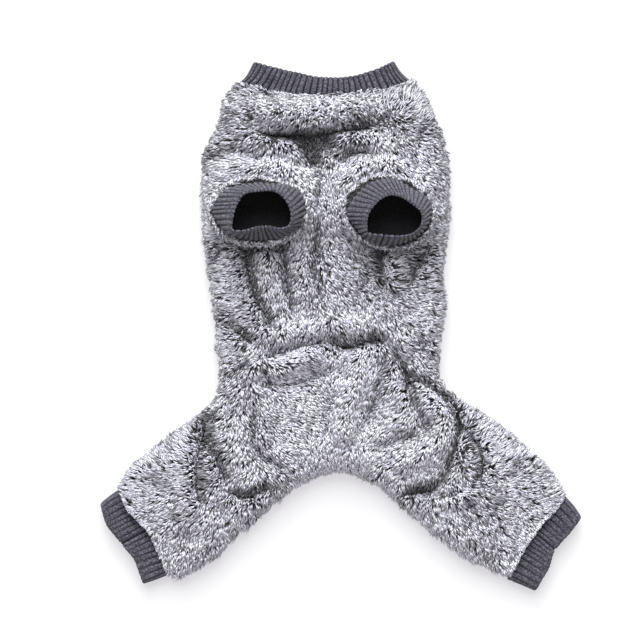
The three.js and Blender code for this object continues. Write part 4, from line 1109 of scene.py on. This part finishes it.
# %% [markdown]
# ## Material of the pile
# The pile is frosted: the roots are nearly black, the shafts grey and the tips almost white, and
# some locks stay darker all along. A noise pattern would colour whole areas, not single locks. Each
# lock carries a map of its own, with the shade of the lock across and the way from root to tip
# upwards, so two colour ramps and a mix are all it takes.

# %% Material helpers
def material(name):
    made = bpy.data.materials.new(name)
    made.use_nodes = True
    nodes = made.node_tree.nodes
    shader = next(n for n in nodes if n.type == "BSDF_PRINCIPLED")
    return made, nodes, made.node_tree.links, shader

def ramp(nodes, stops, place):
    made = nodes.new("ShaderNodeValToRGB")
    made.location = place
    while len(made.color_ramp.elements) < len(stops):
        made.color_ramp.elements.new(0.5)
    for element, (where, colour) in zip(made.color_ramp.elements, stops):
        element.position, element.color = where, (*colour, 1)
    return made

def mixed(nodes, links, factor, first, second, blend="MIX"):
    made = nodes.new("ShaderNodeMix")
    made.data_type, made.blend_type = "RGBA", blend
    sockets = [s for s in made.inputs if s.enabled]
    for socket, value in zip(sockets, (factor, first, second)):
        if hasattr(value, "is_linked"):
            links.new(value, socket)
        else:
            socket.default_value = value
    return next(s for s in made.outputs if s.enabled)

def own_map(nodes, links, uv_name):
    """The two numbers of a piece's own map."""
    uv_map = nodes.new("ShaderNodeUVMap")
    uv_map.uv_map = uv_name
    split = nodes.new("ShaderNodeSeparateXYZ")
    links.new(uv_map.outputs["UV"], split.inputs[0])
    return split.outputs["X"], split.outputs["Y"]

def finish(shader, settings):
    for socket, value in settings.items():
        shader.inputs[socket].default_value = value
print(len(bpy.data.materials), "materials came with the packed model")

# %% Frosted pile
pile_look, nodes, links, shader = material("frosted_fleece_pile")
shade_of_lock, up_the_lock = own_map(nodes, links, "OFBake")
pale = ramp(nodes, [(0.0, (0.03, 0.029, 0.031)), (0.28, (0.08, 0.077, 0.08)), (0.42, (0.32, 0.315, 0.33)),
                    (0.58, (0.63, 0.63, 0.705)), (1.0, (0.68, 0.68, 0.765))], (-500, 200))
dark = ramp(nodes, [(0.0, (0.010, 0.0097, 0.011)), (0.45, (0.022, 0.0213, 0.0235)),
                    (0.7, (0.062, 0.06, 0.069)), (1.0, (0.17, 0.168, 0.19))], (-500, -100))
for stops in (pale, dark):
    links.new(up_the_lock, stops.inputs["Fac"])
links.new(mixed(nodes, links, shade_of_lock, dark.outputs["Color"], pale.outputs["Color"]),
          shader.inputs["Base Color"])
finish(shader, {"Roughness": 0.85, "Sheen Weight": 0.25, "Sheen Roughness": 0.5, "Specular IOR Level": 0.2})
print(pile_look.name, "has", len(nodes), "nodes")

# %% [markdown]
# ## Base cloth and its dark inside
# Between the locks the knitted base shows as a dark grey, and the inside of every shell, seen through
# the openings, is made nearly black. Both are dull and finely uneven, so one function makes them from
# fine noise, which gives both the colour and a shallow bump.

# %% Knit backing
def noise_on(nodes, links, scale, detail):
    """Noise that lies still on the object."""
    where = nodes.new("ShaderNodeTexCoord")
    noise = nodes.new("ShaderNodeTexNoise")
    noise.inputs["Scale"].default_value = scale
    noise.inputs["Detail"].default_value = detail
    links.new(where.outputs["Object"], noise.inputs["Vector"])
    return noise

def bumped(nodes, links, shader, height, strength, distance):
    bump = nodes.new("ShaderNodeBump")
    bump.inputs["Strength"].default_value = strength
    bump.inputs["Distance"].default_value = distance
    links.new(height, bump.inputs["Height"])
    links.new(bump.outputs["Normal"], shader.inputs["Normal"])

def knit_backing(name, colour, lighter, scale):
    made, nodes, links, shader = material(name)
    noise = noise_on(nodes, links, scale, 4)
    stops = ramp(nodes, [(0.35, colour), (0.75, lighter)], (-300, 0))
    links.new(noise.outputs["Fac"], stops.inputs["Fac"])
    links.new(stops.outputs["Color"], shader.inputs["Base Color"])
    bumped(nodes, links, shader, noise.outputs["Fac"], 0.5, 0.0006)
    finish(shader, {"Roughness": 0.95, "Specular IOR Level": 0.1})
    return made

base_look = knit_backing("fleece_base_knit", (0.025, 0.0245, 0.028), (0.055, 0.054, 0.06), 900)
inside_look = knit_backing("near_black_inside", (0.0035, 0.0034, 0.0036), (0.009, 0.0085, 0.009), 500)
print("made", base_look.name, "and", inside_look.name)

# %% [markdown]
# ## Rib knit
# Heather yarn is spun from fibres of several greys, so fine flecks lie over every rib, and each rib
# is a column of small stitches. A checker or brick texture repeats too evenly. The map of a band
# counts its ribs, so the place on a rib darkens the groove with painted shade, strongest next to the
# fleece, and a sine wave up the band, bent down to both sides of the crown, gives the stitches as bump.

# %% Cords and grooves
rib_look, nodes, links, shader = material("heather_rib_knit")
across_ribs, up_the_band = own_map(nodes, links, "rib_uv")

def maths(operation, first, second=None):
    node = nodes.new("ShaderNodeMath")
    node.operation = operation
    for socket, value in zip(node.inputs, (first, second)):
        if value is None:
            continue
        if hasattr(value, "is_linked"):
            links.new(value, socket)
        else:
            socket.default_value = value
    return node.outputs[0]

place_on_rib = maths("FRACT", across_ribs)
from_crown = maths("ABSOLUTE", maths("SUBTRACT", place_on_rib, 0.5))
groove_fade = nodes.new("ShaderNodeAttribute")
groove_fade.attribute_name = "groove_fade"
fade = maths("SUBTRACT", 1.0, groove_fade.outputs["Fac"])
# painted shade: each groove is coloured nearly black, most next to the fleece, fading up the band
depth = maths("ADD", maths("MULTIPLY", maths("POWER", maths("MULTIPLY", from_crown, 2.0), 4.0), fade),
              maths("MULTIPLY", groove_fade.outputs["Fac"], 0.12))
cords = ramp(nodes, [(0.0, (0.066, 0.065, 0.081)), (0.1, (0.054, 0.053, 0.067)),
                     (0.5, (0.004, 0.004, 0.007))], (-300, 200))
links.new(depth, cords.inputs["Fac"])
print(rib_look.name, "has", len(nodes), "nodes so far")

# %% Heather flecks and stitches
heather = noise_on(nodes, links, 750, 5)
flecks = ramp(nodes, [(0.33, (0.4, 0.4, 0.42)), (0.5, (0.9, 0.9, 0.91)),
                      (0.67, (2.1, 2.1, 2.15))], (-300, -200))
links.new(heather.outputs["Fac"], flecks.inputs["Fac"])
links.new(mixed(nodes, links, 1.0, cords.outputs["Color"], flecks.outputs["Color"], "MULTIPLY"),
          shader.inputs["Base Color"])
slanted = maths("ADD", up_the_band, maths("MULTIPLY", from_crown, 0.16))
stitches = maths("SINE", maths("MULTIPLY", slanted, 72.0))
height = maths("ADD", maths("MULTIPLY", stitches, 0.35), heather.outputs["Fac"])
bumped(nodes, links, shader, height, 0.6, 0.0005)
finish(shader, {"Roughness": 0.9, "Sheen Weight": 0.15, "Specular IOR Level": 0.2})
print(rib_look.name, "has", len(nodes), "nodes")

# %% [markdown]
# ## Dress and fasten every piece
# Nothing in the garment moves on its own, so every piece rides on the one body. A cloth stands for
# its CAD solid, and its pile goes with it. The table also lists how large each sheet was cut, in
# metres, and what it rests on, but only the cut area is printed beside the area of one layer.

# %% Dress and fasten
SHEETS = {  # flat width and length of the cut, the share of that box which it fills, what it rests on
    "back_panel": (0.205, 0.33, 0.86, "floor"), "belly_left": (0.11, 0.235, 0.9, "back_panel_cloth"),
    "belly_right": (0.115, 0.235, 0.9, "back_panel_cloth"),
    "hind_panel": (0.19, 0.125, 0.72, "back_panel_cloth"),
    "leg_left": (0.225, 0.15, 0.8, "floor"), "leg_right": (0.225, 0.15, 0.8, "floor"),
    "sleeve_left": (0.225, 0.02, 0.95, "belly_left_cloth"),
    "sleeve_right": (0.225, 0.02, 0.95, "belly_right_cloth"),
    "neck_band": (0.29, 0.017, 0.97, "back_panel_cloth"),
    "leg_cuff_left": (0.158, 0.0185, 0.97, "leg_left_cloth"),
    "leg_cuff_right": (0.158, 0.021, 0.97, "leg_right_cloth"),
    "sleeve_cuff_left": (0.19, 0.018, 0.96, "sleeve_left_cloth"),
    "sleeve_cuff_right": (0.185, 0.018, 0.96, "sleeve_right_cloth")}
CM2 = 1e4  # square centimetres in a square metre
for name, (width, length, share, below) in SHEETS.items():
    ribbed = name in bands
    piece = bands[name] if ribbed else cloths[name]
    piece.data.materials.clear()
    for look in ([rib_look] if ribbed else [base_look, inside_look]):
        piece.data.materials.append(look)
    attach(piece, "root")
    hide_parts(name)
    if not ribbed:
        pile[name].data.materials.append(pile_look)
        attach(pile[name], "root")
    areas = np.zeros(len(piece.data.polygons))
    piece.data.polygons.foreach_get("area", areas)
    print(f"{name}: one layer {areas.sum() / 2 * CM2:.0f} cm2, cut {width * length * share * CM2:.0f} cm2")

# %% [markdown]
# ## Floor, light and camera
# The garment lies on a white floor under two large soft lamps on the neck side, one high and one
# low, and a bright even sky. A white floor in that light would be far too bright, so this one is grey
# and glows a little, which keeps it white while the shadow beside the garment stays faint. The camera
# looks straight down through a long lens, so the outline stays undistorted.

# %% Floor
bpy.ops.object.select_all(action="DESELECT")
bpy.ops.mesh.primitive_plane_add(size=8, location=(0, 0, 0))
floor = bpy.context.object
floor.name = "floor"
floor_look, nodes, links, shader = material("white_floor")
finish(shader, {"Base Color": (0.31, 0.325, 0.31, 1), "Roughness": 0.7,
                "Emission Color": (1.0, 0.965, 1.03, 1), "Emission Strength": 0.52})
floor.data.materials.append(floor_look)
print("floor laid")

# %% Light
LAMPS = (("window", (-0.3, 3.0, 3.6), 4.4, 320), ("low window", (-0.2, 4.4, 1.9), 3.0, 200))
world = bpy.data.worlds.new("studio")
bpy.context.scene.world = world
world.use_nodes = True
sky = world.node_tree.nodes["Background"]
sky.inputs["Color"].default_value = (1.0, 0.98, 0.965, 1)
sky.inputs["Strength"].default_value = 0.72
for name, place, size, power in LAMPS:
    lamp = bpy.data.lights.new(name, "AREA")
    lamp.shape, lamp.size, lamp.energy, lamp.color = "DISK", size, power, (0.97, 0.975, 1.0)
    made = bpy.data.objects.new(name, lamp)
    bpy.context.collection.objects.link(made)
    made.location = place
    made.rotation_euler = (-made.location).to_track_quat("-Z", "Y").to_euler()
bpy.context.scene.view_settings.view_transform = "Standard"
print(len(LAMPS), "lamps and a sky")

# %% Camera
CAMERA_AWAY, VIEW_WIDE = 3.0, 0.512  # metres to the garment, and across the view there
SENSOR = 36  # mm
lens = bpy.data.cameras.new("camera")
camera = bpy.data.objects.new("camera", lens)
bpy.context.collection.objects.link(camera)
camera.location = (-0.0168, 0.0048, CAMERA_AWAY + 0.02)
camera.rotation_euler = (0, 0, 0)
lens.sensor_width, lens.lens = SENSOR, SENSOR * CAMERA_AWAY / VIEW_WIDE
lens.clip_end = 20
bpy.context.scene.camera = camera
print("the lens is", round(lens.lens), "mm long")
